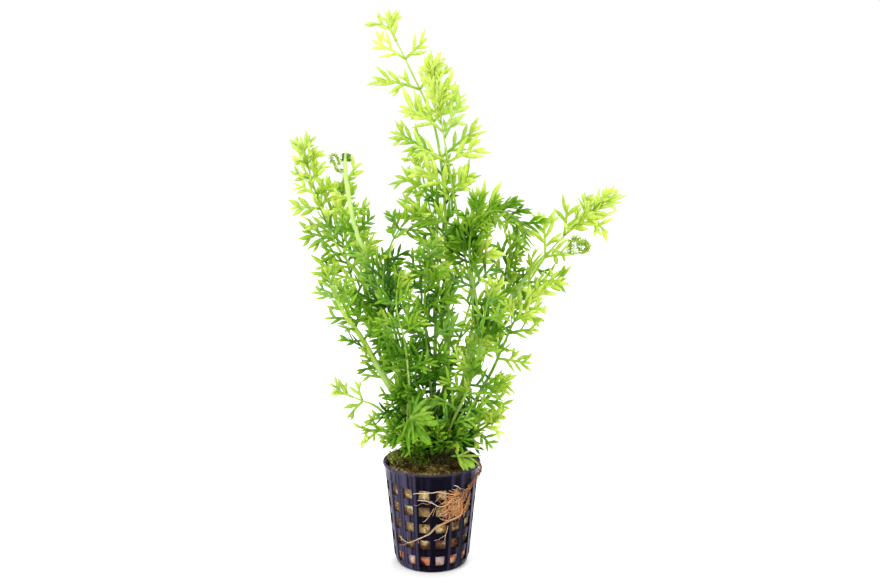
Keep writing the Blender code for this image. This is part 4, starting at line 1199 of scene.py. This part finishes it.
# the rolled ends of young fronds: middle in mm, tube radii from and to, lobes with their length and tone, how
# far they point inwards, and hooks with their length. A spiral has first and last radius, turns, the angle
# where it starts, the way round and the turn of its plane from the front view; another roll follows points.
# The stalk runs through the approach into the first roll.
plainCurl = {"way": 1, "plane": 0.0, "inward": 0.0, "hooks": 0, "hook": 0.0, "points": (), "approach": ()}
curls = {
    "frond_left_curled": (
        {"middle": (-41.9, -5.6, 212.6), "radii": (2.0, 0.8), "turns": 1.6, "start": 180.0, "plane": 86.0,
         "tube": (0.64, 0.5), "lobes": 130, "lobe": 2.4, "tone": 0.30, "band": 0.9},
        {"middle": (-46.8, -8.0, 210.2), "tube": (0.42, 0.3), "lobes": 60, "lobe": 2.1, "tone": 0.60,
         "band": 0.4, "hooks": 36, "hook": 2.4,
         "points": ((-42.4, -8, 206.8), (-44.2, -8, 205.8), (-46.2, -8.3, 206.6), (-48.0, -8.5, 209.6),
                    (-49.4, -8.5, 212.6), (-48.2, -8.3, 214.4), (-46.4, -8, 213.0), (-44.8, -7.6, 209.2))}),
    "frond_right_curled": (
        {"middle": (79.1, 23.8, 163.9), "radii": (3.9, 1.5), "turns": 1.7, "start": 245.0, "way": -1,
         "tube": (0.5, 0.25), "lobes": 60, "lobe": 1.7, "tone": 0.64, "band": 0.55, "inward": 0.4,
         "hooks": 80, "hook": 2.8,
         "approach": ((67.0, 22.4, 160.6), (71.4, 23.0, 159.8), (75.0, 23.6, 159.9))},
        {"middle": (72.0, 23.4, 163.0), "tube": (0.36, 0.2), "lobes": 44, "lobe": 2.2, "tone": 0.64,
         "band": 0.5, "hooks": 56, "hook": 4.6,
         "points": ((72.6, 23.0, 159.8), (72.8, 22.8, 162.4), (72.4, 22.6, 165.2), (73.4, 22.4, 167.6),
                    (75.6, 22.4, 168.4), (77.0, 22.4, 167.0))}),
}
curls = {name: [plainCurl | curl for curl in rolls] for name, rolls in curls.items()}
curlLook = {"steps": 40, "lobeThickness": 0.25 * mm, "lobeFoot": 0.3 * mm, "lobeSlimness": 0.34,
            "hookSteps": 7, "hookRadius": 0.24 * mm, "hookThinning": 0.02 * mm}


def curlPlaces(curl):
    # a flat spiral, wound inwards, or a curve through the roll's own points
    shares = evenShares(curlLook["steps"])
    if curl["points"]:
        path = Route([Vector(point) * mm for point in curl["points"]])
        return [path.at(share) for share in shares]
    wide, narrow = curl["radii"]
    plane = math.radians(curl["plane"])
    across = Vector((math.cos(plane), math.sin(plane), 0.0))
    places = []
    for share in shares:
        angle = math.radians(curl["start"]) - curl["way"] * math.tau * curl["turns"] * share
        radius = wide + (narrow - wide) * share
        away = across * math.cos(angle) + up * math.sin(angle)
        aside = across.cross(up) * 0.5 * (share - 0.5)
        places.append((Vector(curl["middle"]) + away * radius + aside) * mm)
    return places


def growHook(piece, start, way, axis, size, tone):
    # a fine leaf tip that is rolled into a hook
    places = [start]
    for step in range(curlLook["hookSteps"]):
        places.append(places[-1] + way * size / (6 + step))
        way = Matrix.Rotation(math.radians(20.0 + 6.0 * step), 3, axis) @ way
    steps = range(len(places))
    sweepTube(piece, places, [curlLook["hookRadius"] - curlLook["hookThinning"] * step for step in steps], 5,
              [tone + 0.03 * step for step in steps])


def growCurlLobe(piece, curl, place, forward, outward, beside, draw):
    inward = curl["inward"]
    way = beside * draw.uniform(0.5, 1.0) * (1.0 - 0.6 * inward) + forward * 0.5
    way = (way + outward * (draw.uniform(-0.4, 0.45) - inward)).normalized()
    across = way.cross(outward).normalized() * curlLook["lobeFoot"]
    sheet = newSheet()
    edge = sheet.edges.new([sheet.verts.new(place - across), sheet.verts.new(place + across)])
    tone = curl["tone"] + draw.gauss(0.0, 0.1)
    markVerts(sheet, edge.verts, age=tone)
    size = curl["lobe"] * mm * draw.uniform(0.7, 1.3)
    growLobe(sheet, edge, way, -outward, size, size * curlLook["lobeSlimness"], 0.5 - inward * 0.5, tone, False,
             draw)
    finishSheet(piece, sheet, curlLook["lobeThickness"])


def growCurl(piece, curl, draw):
    # a rolled midrib, with small lobes and hooks that roll up with it
    places = curlPlaces(curl)
    count = len(places)
    first, last = curl["tube"]
    steps = [index / count for index in range(count)]
    sweepTube(piece, places, [(first + (last - first) * step) * mm for step in steps], 10,
              [max(curl["tone"], curl["band"]) + 0.1 * step for step in steps], 0.05,
              [max(curl["band"], 0.8 - 3.0 * step) for step in steps])
    plane = math.radians(curl["plane"] + 90.0)
    beside = Vector((math.cos(plane), math.sin(plane), 0.0))
    for kind in ("lobes", "hooks"):
        for index in range(curl[kind]):
            spot = 1 + int((count - 2) * index / curl[kind])
            place, forward = places[spot], (places[spot] - places[spot - 1]).normalized()
            if kind == "lobes":
                outward = (place - Vector(curl["middle"]) * mm).normalized()
                growCurlLobe(piece, curl, place, forward, outward, beside * (1 if index % 2 else -1), draw)
            else:
                way = beside.cross(forward).normalized() * draw.choice((1, -1))
                way += forward * draw.uniform(-0.2, 0.9) + beside * draw.uniform(-0.6, 0.3)
                growHook(piece, place, way.normalized(), beside * draw.choice((1, -1)),
                         curl["hook"] * mm * draw.uniform(0.6, 1.3), curl["tone"] + draw.gauss(0.0, 0.1))


# broad leaves: their middle and facing, then a turn, length and width in mm for each of the fingers
starLeaves = {
    "frond_front_broad": {
        "middle": (-9.8, -37.0, 89.0), "facing": (-0.1, -1.0, 0.5), "hub": 0.8, "tone": 0.29,
        "fingers": ((98, 8.0, 1.9), (76, 13.0, 2.4), (55, 12.0, 2.6), (33, 16.5, 3.4), (10, 12.0, 2.8),
                    (-20, 13.5, 3.6), (-50, 10.5, 2.4), (-61, 16.5, 4.4), (-82, 11.0, 1.8), (-102, 18.0, 2.9),
                    (-116, 11.0, 1.5))},
    "frond_over_rim": {
        "middle": (13.4, -20.0, 63.5), "facing": (0.3, -1.0, 0.5), "hub": 0.6, "tone": 0.42,
        "fingers": ((172, 3.4, 1.4), (104, 3.4, 1.4), (14, 8.8, 1.1), (-5, 12.5, 1.4), (-41, 10.0, 3.4),
                    (-76, 7.6, 2.2))},
}
starLook = {"forksFrom": 9.0, "broadFrom": 3.0, "hubHeight": 0.5 * mm}


def growStar(piece, star, draw):
    # fingers round one hub, the long ones forked and the wide ones broadest near their ends
    sheet = newSheet()
    age, fingers = star["tone"], star["fingers"]
    facing, middle = Vector(star["facing"]).normalized(), Vector(star["middle"]) * mm
    right = up.cross(facing).normalized()
    high = facing.cross(right).normalized()
    verts = []
    for (before, _, _), (after, _, _) in zip(fingers, fingers[1:] + fingers[:1]):
        angle = math.radians(before - (before - after) % 360 / 2)
        away = right * math.cos(angle) + high * math.sin(angle)
        verts.append(sheet.verts.new(middle + away * star["hub"] * mm))
    centre = sheet.verts.new(middle + facing * starLook["hubHeight"])
    for first, second in zip(verts, verts[1:] + verts[:1]):
        bmesh.ops.contextual_create(sheet, geom=[first, second, centre])
    markVerts(sheet, [*verts, centre], age=age + 0.1, rib=0.0, stalk=0.1)
    for number, (turn, length, width) in enumerate(fingers):
        edge = next(edge for edge in sheet.edges if set(edge.verts) == {verts[number - 1], verts[number]})
        angle = math.radians(turn)
        axis = (right * math.cos(angle) + high * math.sin(angle) + facing * draw.uniform(0.0, 0.4)).normalized()
        lean = (facing + (right * draw.uniform(-0.4, 0.4) + high * draw.uniform(-0.4, 0.4))).normalized()
        growLobe(sheet, edge, axis, lean, length * mm, width * mm, draw.uniform(-0.45, 0.05),
                 age + draw.gauss(0.0, 0.08), length > starLook["forksFrom"], draw,
                 fingerShape if width > starLook["broadFrom"] else lobeShape)
    finishSheet(piece, sheet, bladeLook["thickness"])


# low leaves round the foot of the fronds: how many, and from and to values in mm and degrees
lowLook = {
    "leaves": 78, "ring": (2.0, 9.5), "length": (13.0, 27.0), "rise": (24.0, 80.0), "tone": (-0.06, 0.56),
    "droop": 0.2, "threads": 90, "threadRing": (8.0, 13.5), "threadTurn": (-62.0, -6.0),
    "threadLength": (3.0, 8.0), "threadWidth": (0.12, 0.24),
}


def buildLowLeaves():
    draw = random.Random(47)
    sheet = newSheet()
    for _ in range(lowLook["leaves"]):
        ring, turn = draw.uniform(*lowLook["ring"]) * mm, draw.gauss(0.0, 75.0)
        rise, length = math.radians(draw.uniform(*lowLook["rise"])), draw.uniform(*lowLook["length"]) * mm
        base = around(ring, turn, woolLook["top"] + crownHeight(ring) - 0.3 * mm)
        along = around(math.cos(rise), turn + draw.uniform(-30.0, 30.0), math.sin(rise)).normalized()
        wide = along.cross(Vector((0, -0.6, 1)).normalized()).normalized()
        growBlade(sheet, FreeLeaf(base, along, wide, length, lowLook["droop"] * draw.random()), 1.0,
                  draw.uniform(*lowLook["tone"]), draw)
    for _ in range(lowLook["threads"]):
        ring, turn = draw.uniform(*lowLook["threadRing"]) * mm, draw.uniform(*lowLook["threadTurn"])
        way = around(draw.uniform(0.2, 1.0), turn + draw.uniform(-60.0, 60.0), draw.uniform(-0.5, 0.7))
        base = around(ring, turn, woolLook["top"] + draw.uniform(1.5, 5.0) * mm)
        addSpike(sheet, base, way.normalized(), draw.uniform(*lowLook["threadLength"]) * mm,
                 draw.uniform(*lowLook["threadWidth"]) * mm, draw.uniform(0.3, 0.6))
    finishPiece(sheet, "lowLeaves", leafMaterial, [], recalculate=False)
    print("low leaves built")


def stalkRadius(share, plant):
    # a frond that is still rolled up is thick as far as its curl
    name, bare = plant["name"], plant["leafy"][0]
    thick = frondLook["stalkRadius"] * stalkBreadth.get(name, 1.0)
    if name in curls:
        return thick * (0.94 - 0.3 * share**3)
    if name == "frond_left_low":
        return thick * (1.0 - 0.75 * share**1.5)
    if share < bare:
        return thick * (1.0 - frondLook["stalkTaper"] * share / bare)
    start = min(thick * (1.0 - frondLook["stalkTaper"]), frondLook["midribRadius"] * 1.3)
    return start + (frondLook["midribRadius"] * 0.45 - start) * (share - bare) / (1.0 - bare)


def frondAge(plant, share):
    # a frond is oldest at its foot and youngest at its tip
    first = plant["leafy"][0]
    return plant["tone"] - 0.12 + 0.3 * max(0.0, (share - first) / (1.0 - first))


def growLeaflets(sheet, owner, plant, crowd, draw):
    # the main leaflets, the smaller ones between them, and the crowded ones
    bladed = plant["name"] not in starLeaves
    tips = pinnaTips.get(plant["name"], {})
    for number, pinna in enumerate(crowd.pinnae[owner]):
        if number in tips:
            pinna.aimAt(Vector(tips[number]) * mm)
        else:
            if inOpening([pinna.place(0.7), pinna.place(1.0)]):
                pinna.length *= 0.6
            pinna.swing(draw)
        if bladed:
            age = frondAge(plant, pinna.share) + draw.gauss(0.01, 0.06)
            growBlade(sheet, pinna, plant["breadth"], age, draw)
    for pinna in crowd.extras[owner] if bladed else ():
        pinna.swing(draw)
        age = frondAge(plant, pinna.share) - 0.03 + draw.gauss(0.0, 0.13)
        growBlade(sheet, pinna, frondLook["extraBreadth"], age, draw)
    for pinna, tone in growClusters(plant, crowd.routes[owner], draw):
        if not inOpening([pinna.place(0.6), pinna.place(1.0)]):
            growBlade(sheet, pinna, frondLook["extraBreadth"] if tone < 0.6 else 1.0, tone, draw)


def growStalk(sheet, plant, route, end, joint):
    # the stalk and midrib as far as that share, and on through the joint's places into a roll
    name, bare = plant["name"], plant["leafy"][0]
    shares = [end * share for share in evenShares(round(route.length / frondLook["stalkStep"]))]
    pale = stalkTones.get(name, frondLook["stalkTone"])
    places = [route.at(share) for share in shares]
    radii = [stalkRadius(share, plant) for share in shares]
    ages = [pale - 0.1 + 0.3 * share - 0.4 * max(0.0, 1.0 - 6 * share) for share in shares]
    stalks = [0.85 if share < bare or name in curls else max(0.2, 0.85 - 8.0 * (share - bare))
              for share in shares]
    if joint:
        path = Route([places[-2], places[-1], *joint])
        bend = (places[-1] - places[-2]).length / path.length
        thick, thin = radii[-1], curls[name][0]["tube"][0] * mm
        for share in evenShares(8)[1:]:
            places.append(path.at(bend + (1.0 - bend) * share))
            radii.append(thick + (thin - thick) * share)
            ages.append(ages[-1])
            stalks.append(stalks[-1])
    sweepTube(sheet, places, radii, frondLook["stalkSides"], ages, frondLook["stalkRidge"], stalks)


def buildFrond(owner, plant, crowd):
    draw = random.Random(100 + owner)
    name, route = plant["name"], crowd.routes[owner]
    sheet = newSheet()
    growLeaflets(sheet, owner, plant, crowd, draw)
    growSingleLeaves(sheet, plant, route, draw)
    end, joint = 0.985, []
    for curl in curls.get(name, ()):
        growCurl(sheet, curl, draw)
    if name in curls:
        roll = curls[name][0]
        joint = [*(Vector(point) * mm for point in roll["approach"]), curlPlaces(roll)[0]]
        end = route.nearest(joint[0]) - 3.0 * mm / route.length
    if name in starLeaves:
        growStar(sheet, starLeaves[name], draw)
        end = route.nearest(Vector(starLeaves[name]["middle"]) * mm)
    elif plant["leafy"][1] > 0.9:
        tip = TipLeaf(route, plant, 1.0 - tipLengths.get(name, frondLook["tipLength"]) * mm / route.length)
        growBlade(sheet, tip, tipBreadth.get(name, 1.0), frondAge(plant, 0.97), draw)
    growStalk(sheet, plant, route, end, joint)
    piece = finishPiece(sheet, name + "_leafy", leafMaterial, [name],
                        recalculate=False)
    return len(piece.data.polygons)


def buildFronds():
    crowd = Crowd()
    crowd.routes = [frondRoute(plant) for plant in fronds]
    for owner, (route, plant) in enumerate(zip(crowd.routes, fronds)):
        shares = evenShares(round(route.length / frondLook["sampleStep"]))
        bare = plant["leafy"][0]
        crowd.add(owner, [route.at(share) for share in shares if share < bare], frondLook["stalkReach"])
        crowd.add(owner, [route.at(share) for share in shares if share >= bare], frondLook["bladeReach"])
    crowd.pinnae = [growPinnae(owner, plant, crowd) for owner, plant in enumerate(fronds)]
    owners = {plant["name"]: owner for owner, plant in enumerate(fronds)}
    crowd.extras = {}
    for name in dict.fromkeys([*extraFrom, *owners]):
        crowd.extras[owners[name]] = growExtras(owners[name], fronds[owners[name]], crowd)
    faces = sum(buildFrond(owner, plant, crowd) for owner, plant in enumerate(fronds))
    print("fronds built:", len(fronds), "with", faces, "faces before smoothing")


# the roots

rootLook = {
    "strand": 0.62 * mm, "thin": 0.42 * mm, "slimness": 0.44, "wobble": 0.35 * mm, "step": 1.6 * mm,
    "rootlets": {"strand": 3, "thin": 1}, "rootletRadius": 0.13 * mm, "bundleRootlets": 6,
    "bundleStrands": 10, "bundleRadii": (0.15, 0.3), "bundleGap": 0.6 * mm,
    "matRoots": 80, "matRadii": (0.08, 0.2), "padRoots": 90, "padRadii": (0.1, 0.24),
    # the bundle's way over the rim, by radius, turn and height, and down the wall, by turn, height and gap
    "overRim": ((13.4, 66, 57.2), (19.5, 68, 57.8), (24.4, 69, 57.3), (26.9, 69, 55.2)),
    "downWall": ((68, 52.8, 2.0), (64, 49.8, 1.5), (56, 46.6, 0.9), (43, 43.0, 0.7)),
}
# kind, age at the base and at the tip, and turn, height and gap from the wall of its points
rootPlaces = {
    "root_upper": ("strand", (0.45, 1.0), ((36, 43.9, 0.4), (27, 43.6, 0.3), (11, 45.6, 0.3), (-6, 45.2, 0.3),
                                           (-23, 44.2, 0.3))),
    "root_middle": ("strand", (0.4, 1.05), ((36, 41.6, 0.4), (26, 41.3, 0.3), (18, 38.2, 0.5), (9, 38.0, 0.5),
                                            (-3, 40.5, 0.3), (-17, 41.0, 0.3))),
    "root_long": ("strand", (0.45, 0.86), ((40, 39.4, 0.4), (41, 32.0, 0.4), (27, 29.6, 0.4), (8, 26.8, 0.4),
                                           (-3, 22.6, 0.4), (-17, 20.0, 0.4), (-34, 16.4, 0.3),
                                           (-50, 18.4, 0.3))),
    "root_right": ("strand", (0.3, 0.6), ((55, 42.6, 0.4), (51, 38.0, 0.4), (47, 34.0, 0.4), (46, 29.5, 0.3))),
    "root_thin_middle": ("thin", (0.5, 0.7), ((3, 36.9, 0.4), (-3, 32.6, 0.3), (-10, 29.2, 0.3))),
    "root_thin_low": ("thin", (0.5, 0.8), ((22, 26.6, 0.3), (20, 22.6, 0.3), (18, 18.4, 0.3))),
    "root_loop": ("thin", (0.85, 0.95), ((27, 48.8, 0.9), (33, 47.6, 1.0), (37, 45.6, 0.8))),
}


def besideWall(turn, height, distance):
    return around(wallRadius(height) + distance, turn, height)


def growRoot(mesh, points, radius, ages, draw):
    route = Route(points)
    phase = draw.uniform(0, 100)

    def waver(along, line):
        return noise.noise(Vector((phase, along, line)))

    places, radii, tones = [], [], []
    for share in evenShares(max(4, round(route.length / rootLook["step"]))):
        sway = Vector((waver(share * 9, 0), 0.0, waver(share * 9, 5)))
        places.append(route.at(share) + sway * rootLook["wobble"] * min(1.0, 4 * share))
        radii.append(radius * (1.0 - 0.6 * share**1.5) * (1.0 + 0.12 * waver(share * 14, 2)))
        tones.append(ages[0] + (ages[1] - ages[0]) * share)
    sweepTube(mesh, places, radii, 8, tones)
    return route


def growRootlets(mesh, route, number, draw):
    # hair-thin side roots that wander over the wall
    for _ in range(number):
        start = route.at(draw.uniform(0.1, 0.9))
        turn, height = turnOf(start), start.z
        gap = start.xy.length - wallRadius(height)
        points = [start]
        drift = draw.uniform(-8.0, 3.0)
        for _ in range(draw.choice((3, 4))):
            turn += drift * draw.uniform(0.5, 1.2)
            height -= draw.uniform(-0.6, 2.6) * mm
            gap = max(0.45 * mm, gap * 0.7)
            points.append(besideWall(turn, height, gap))
        path, shares = Route(points), evenShares(10)
        thin = rootLook["rootletRadius"] * draw.uniform(0.6, 1.2)
        pale = draw.uniform(0.4, 0.75)
        radii = [thin * (1.0 - 0.5 * share) for share in shares]
        sweepTube(mesh, [path.at(share) for share in shares], radii, 5, [pale + 0.2 * share for share in shares])


def wander(turn, height, gaps, turns, drops, draw):
    # four places that stray over the wall, and the turn past the last
    points = []
    for _ in range(4):
        points.append(besideWall(turn, height * mm, draw.uniform(*gaps) * mm))
        turn += draw.uniform(*turns)
        height += draw.uniform(*drops)
    return points, turn


def buildRootBundle(draw):
    # strands that part and cross on their way over the rim, with a mat and an orange pad of fine roots below
    bundle = newSheet()
    main = [around(radius * mm, turn, height * mm) for radius, turn, height in rootLook["overRim"]]
    main += [besideWall(turn, height * mm, gap * mm + rootLook["bundleGap"])
             for turn, height, gap in rootLook["downWall"]]
    for _ in range(rootLook["bundleStrands"]):
        path = [point + Vector([draw.uniform(-1, 1) for _ in range(3)]) * (0.5 + 0.12 * number) * mm
                for number, point in enumerate(main)]
        tone = draw.uniform(-0.1, 0.2)
        growRoot(bundle, path, draw.uniform(*rootLook["bundleRadii"]) * mm,
                 (tone, tone + draw.uniform(0.1, 0.35)), draw)
    growRootlets(bundle, Route(main[5:]), rootLook["bundleRootlets"], draw)
    for _ in range(rootLook["matRoots"]):
        turn, height = draw.triangular(14, 58, 36), draw.triangular(31, 46, 38)
        points, turn = wander(turn, height, (0.25, 1.1), (-9.0, 4.0), (-3.2, 2.0), draw)
        tone = 0.5 - 0.3 * max(0.0, (turn - 30.0) / 30.0) + draw.gauss(0.0, 0.1)
        growRoot(bundle, points, draw.uniform(*rootLook["matRadii"]) * mm, (tone, tone + 0.15), draw)
    for _ in range(rootLook["padRoots"]):
        turn, height = draw.uniform(17.0, 44.0), draw.uniform(32.0, 40.5)
        points, _ = wander(turn, height, (0.1, 0.5), (-5.0, 3.0), (-2.0, 1.6), draw)
        tone = draw.uniform(0.34, 0.56)
        growRoot(bundle, points, draw.uniform(*rootLook["padRadii"]) * mm, (tone, tone), draw)
    finishPiece(bundle, "rootBundle", rootMaterial, ["root_bundle"])


def buildRoots():
    draw = random.Random(23)
    buildRootBundle(draw)
    for node, (kind, ages, places) in rootPlaces.items():
        root = newSheet()
        thick = rootLook[kind] * rootLook["slimness"]
        points = [besideWall(turn, high * mm, gap * mm + rootLook[kind]) for turn, high, gap in places]
        route = growRoot(root, points, thick, ages, draw)
        if node == "root_long":
            beside = [point + Vector((0, -0.2 * mm, draw.uniform(-0.9, 0.9) * mm)) for point in points[:-2]]
            growRoot(root, beside, thick * 0.6, ages, draw)
        growRootlets(root, route, rootLook["rootlets"][kind], draw)
        first, *others = node.split("_")
        finishPiece(root, first + "".join(map(str.capitalize, others)), rootMaterial, [node])
    print("roots built")


# moss on the plug, thickest at the left of the rim: turn and radius of each tuft, its sprigs and tone

mossLook = {
    "tufts": ((-66, 20.5, 50, 0.35), (-78, 19.5, 60, 0.45), (-90, 18.0, 50, 0.4), (-52, 20.0, 12, 0.1),
              (-30, 13.0, 10, 0.0), (5, 12.5, 8, 0.0), (28, 13.0, 8, 0.0), (70, 16.0, 10, 0.1),
              (120, 17.0, 24, 0.2), (-150, 17.0, 24, 0.2), (180, 15.0, 20, 0.1)),
    "spread": 1.6, "outermost": 22.3 * mm, "sprigLength": (1.5 * mm, 4.5 * mm),
    "sprigRadii": (0.16 * mm, 0.13 * mm, 0.05 * mm), "leaves": 7, "leafLength": (0.9 * mm, 2.0 * mm),
    "leafWidth": 0.24 * mm,
}


def growSprig(moss, turn, radius, pale, draw):
    place = around(radius * mm + draw.gauss(0, mossLook["spread"]) * mm, turn + draw.gauss(0, 5), 0.0)
    place.xy *= min(1.0, mossLook["outermost"] / place.xy.length)
    place.z = woolLook["top"] + draw.uniform(-1.6, 0.6) * mm
    way = level(place).normalized() * draw.uniform(-0.2, 0.6)
    way = (way + Vector((draw.uniform(-0.5, 0.5), draw.uniform(-0.5, 0.5), 1.0))).normalized()
    length = draw.uniform(*mossLook["sprigLength"])
    sweepTube(moss, [place, place + way * length * 0.5, place + way * length], mossLook["sprigRadii"], 4,
              [pale, pale + 0.2, pale + 0.4])
    for _ in range(mossLook["leaves"]):
        share = draw.uniform(0.15, 1.0)
        leafWay = way * 0.5 + Vector((draw.uniform(-1, 1), draw.uniform(-1, 1), draw.uniform(-0.2, 0.8)))
        addSpike(moss, place + way * length * share, leafWay.normalized(),
                 draw.uniform(*mossLook["leafLength"]), mossLook["leafWidth"], pale + draw.uniform(-0.35, 0.55))


def buildMoss():
    draw = random.Random(31)
    moss = newSheet()
    for turn, radius, sprigs, pale in mossLook["tufts"]:
        for _ in range(sprigs):
            growSprig(moss, turn, radius, pale, draw)
    finishPiece(moss, "mossTufts", mossMaterial, [])
    print("moss built")


# floor, light and camera

stageLook = {
    "floorSize": 60.0, "floorTone": 0.955, "floorGap": 0.05 * mm, "worldStrength": 1.05,
    "aim": (0.0, 0.0, 0.15),
    # place, size and power
    "lights": {"keyLight": ((-0.7, -0.9, 1.1), 0.5, 9.0), "fillLight": ((0.9, -0.7, 0.7), 0.9, 3.0),
               "backLight": ((0.3, 1.0, 0.9), 0.9, 9.0)},
}
cameraLook = {"place": (4.3 * mm, -620.0 * mm, 262.3 * mm), "down": 10.9, "focalPixels": 1242.0,
              "imageWidth": 880, "sensor": 36.0}


def floorSurface(tree):
    tone = stageLook["floorTone"]
    shade = noiseTexture(tree, objectPlace(tree), 6.0)
    colour = colourRamp(tree, shade, ((0.2, (tone,) * 3), (0.8, (tone * 1.02,) * 3)))
    return principled(tree, colour, 0.8, bumpNode(tree, shade, 0.01, 0.1 * mm), 0.1)


def buildStage():
    floor = bmesh.new()
    bmesh.ops.create_grid(floor, x_segments=1, y_segments=1, size=stageLook["floorSize"] / 2)
    data = meshData(floor, "floor")
    data.materials.append(makeMaterial("paleFloor", floorSurface))
    piece = linkObject("floor", data)
    piece.location.z = cadBounds[0][2] - stageLook["floorGap"]


def buildLight():
    for name, (place, size, power) in stageLook["lights"].items():
        light = bpy.data.lights.new(name, "AREA")
        light.shape, light.size, light.energy = "DISK", size, power
        thing = linkObject(name, light)
        thing.location = place
        aim = Vector(stageLook["aim"]) - Vector(place)
        thing.rotation_euler = aim.to_track_quat("-Z", "Y").to_euler()
    world = bpy.data.worlds.new("paleStudio")
    world.use_nodes = True
    background = world.node_tree.nodes["Background"].inputs
    background["Color"].default_value = (1.0, 1.0, 1.0, 1.0)
    background["Strength"].default_value = stageLook["worldStrength"]
    bpy.context.scene.world = world
    bpy.context.scene.view_settings.view_transform = "Standard"


def buildCamera():
    data = bpy.data.cameras.new("photoView")
    data.sensor_width = cameraLook["sensor"]
    data.lens = cameraLook["focalPixels"] / cameraLook["imageWidth"] * cameraLook["sensor"]
    data.clip_start = 0.01
    thing = linkObject("photoView", data)
    thing.location = cameraLook["place"]
    thing.rotation_euler = (math.radians(90.0 - cameraLook["down"]), 0.0, 0.0)
    bpy.context.scene.camera = thing


buildPot()
buildWool()
buildCrown()
buildFronds()
buildLowLeaves()
buildRoots()
buildMoss()
buildStage()
buildLight()
buildCamera()
print("stage, light and camera set")
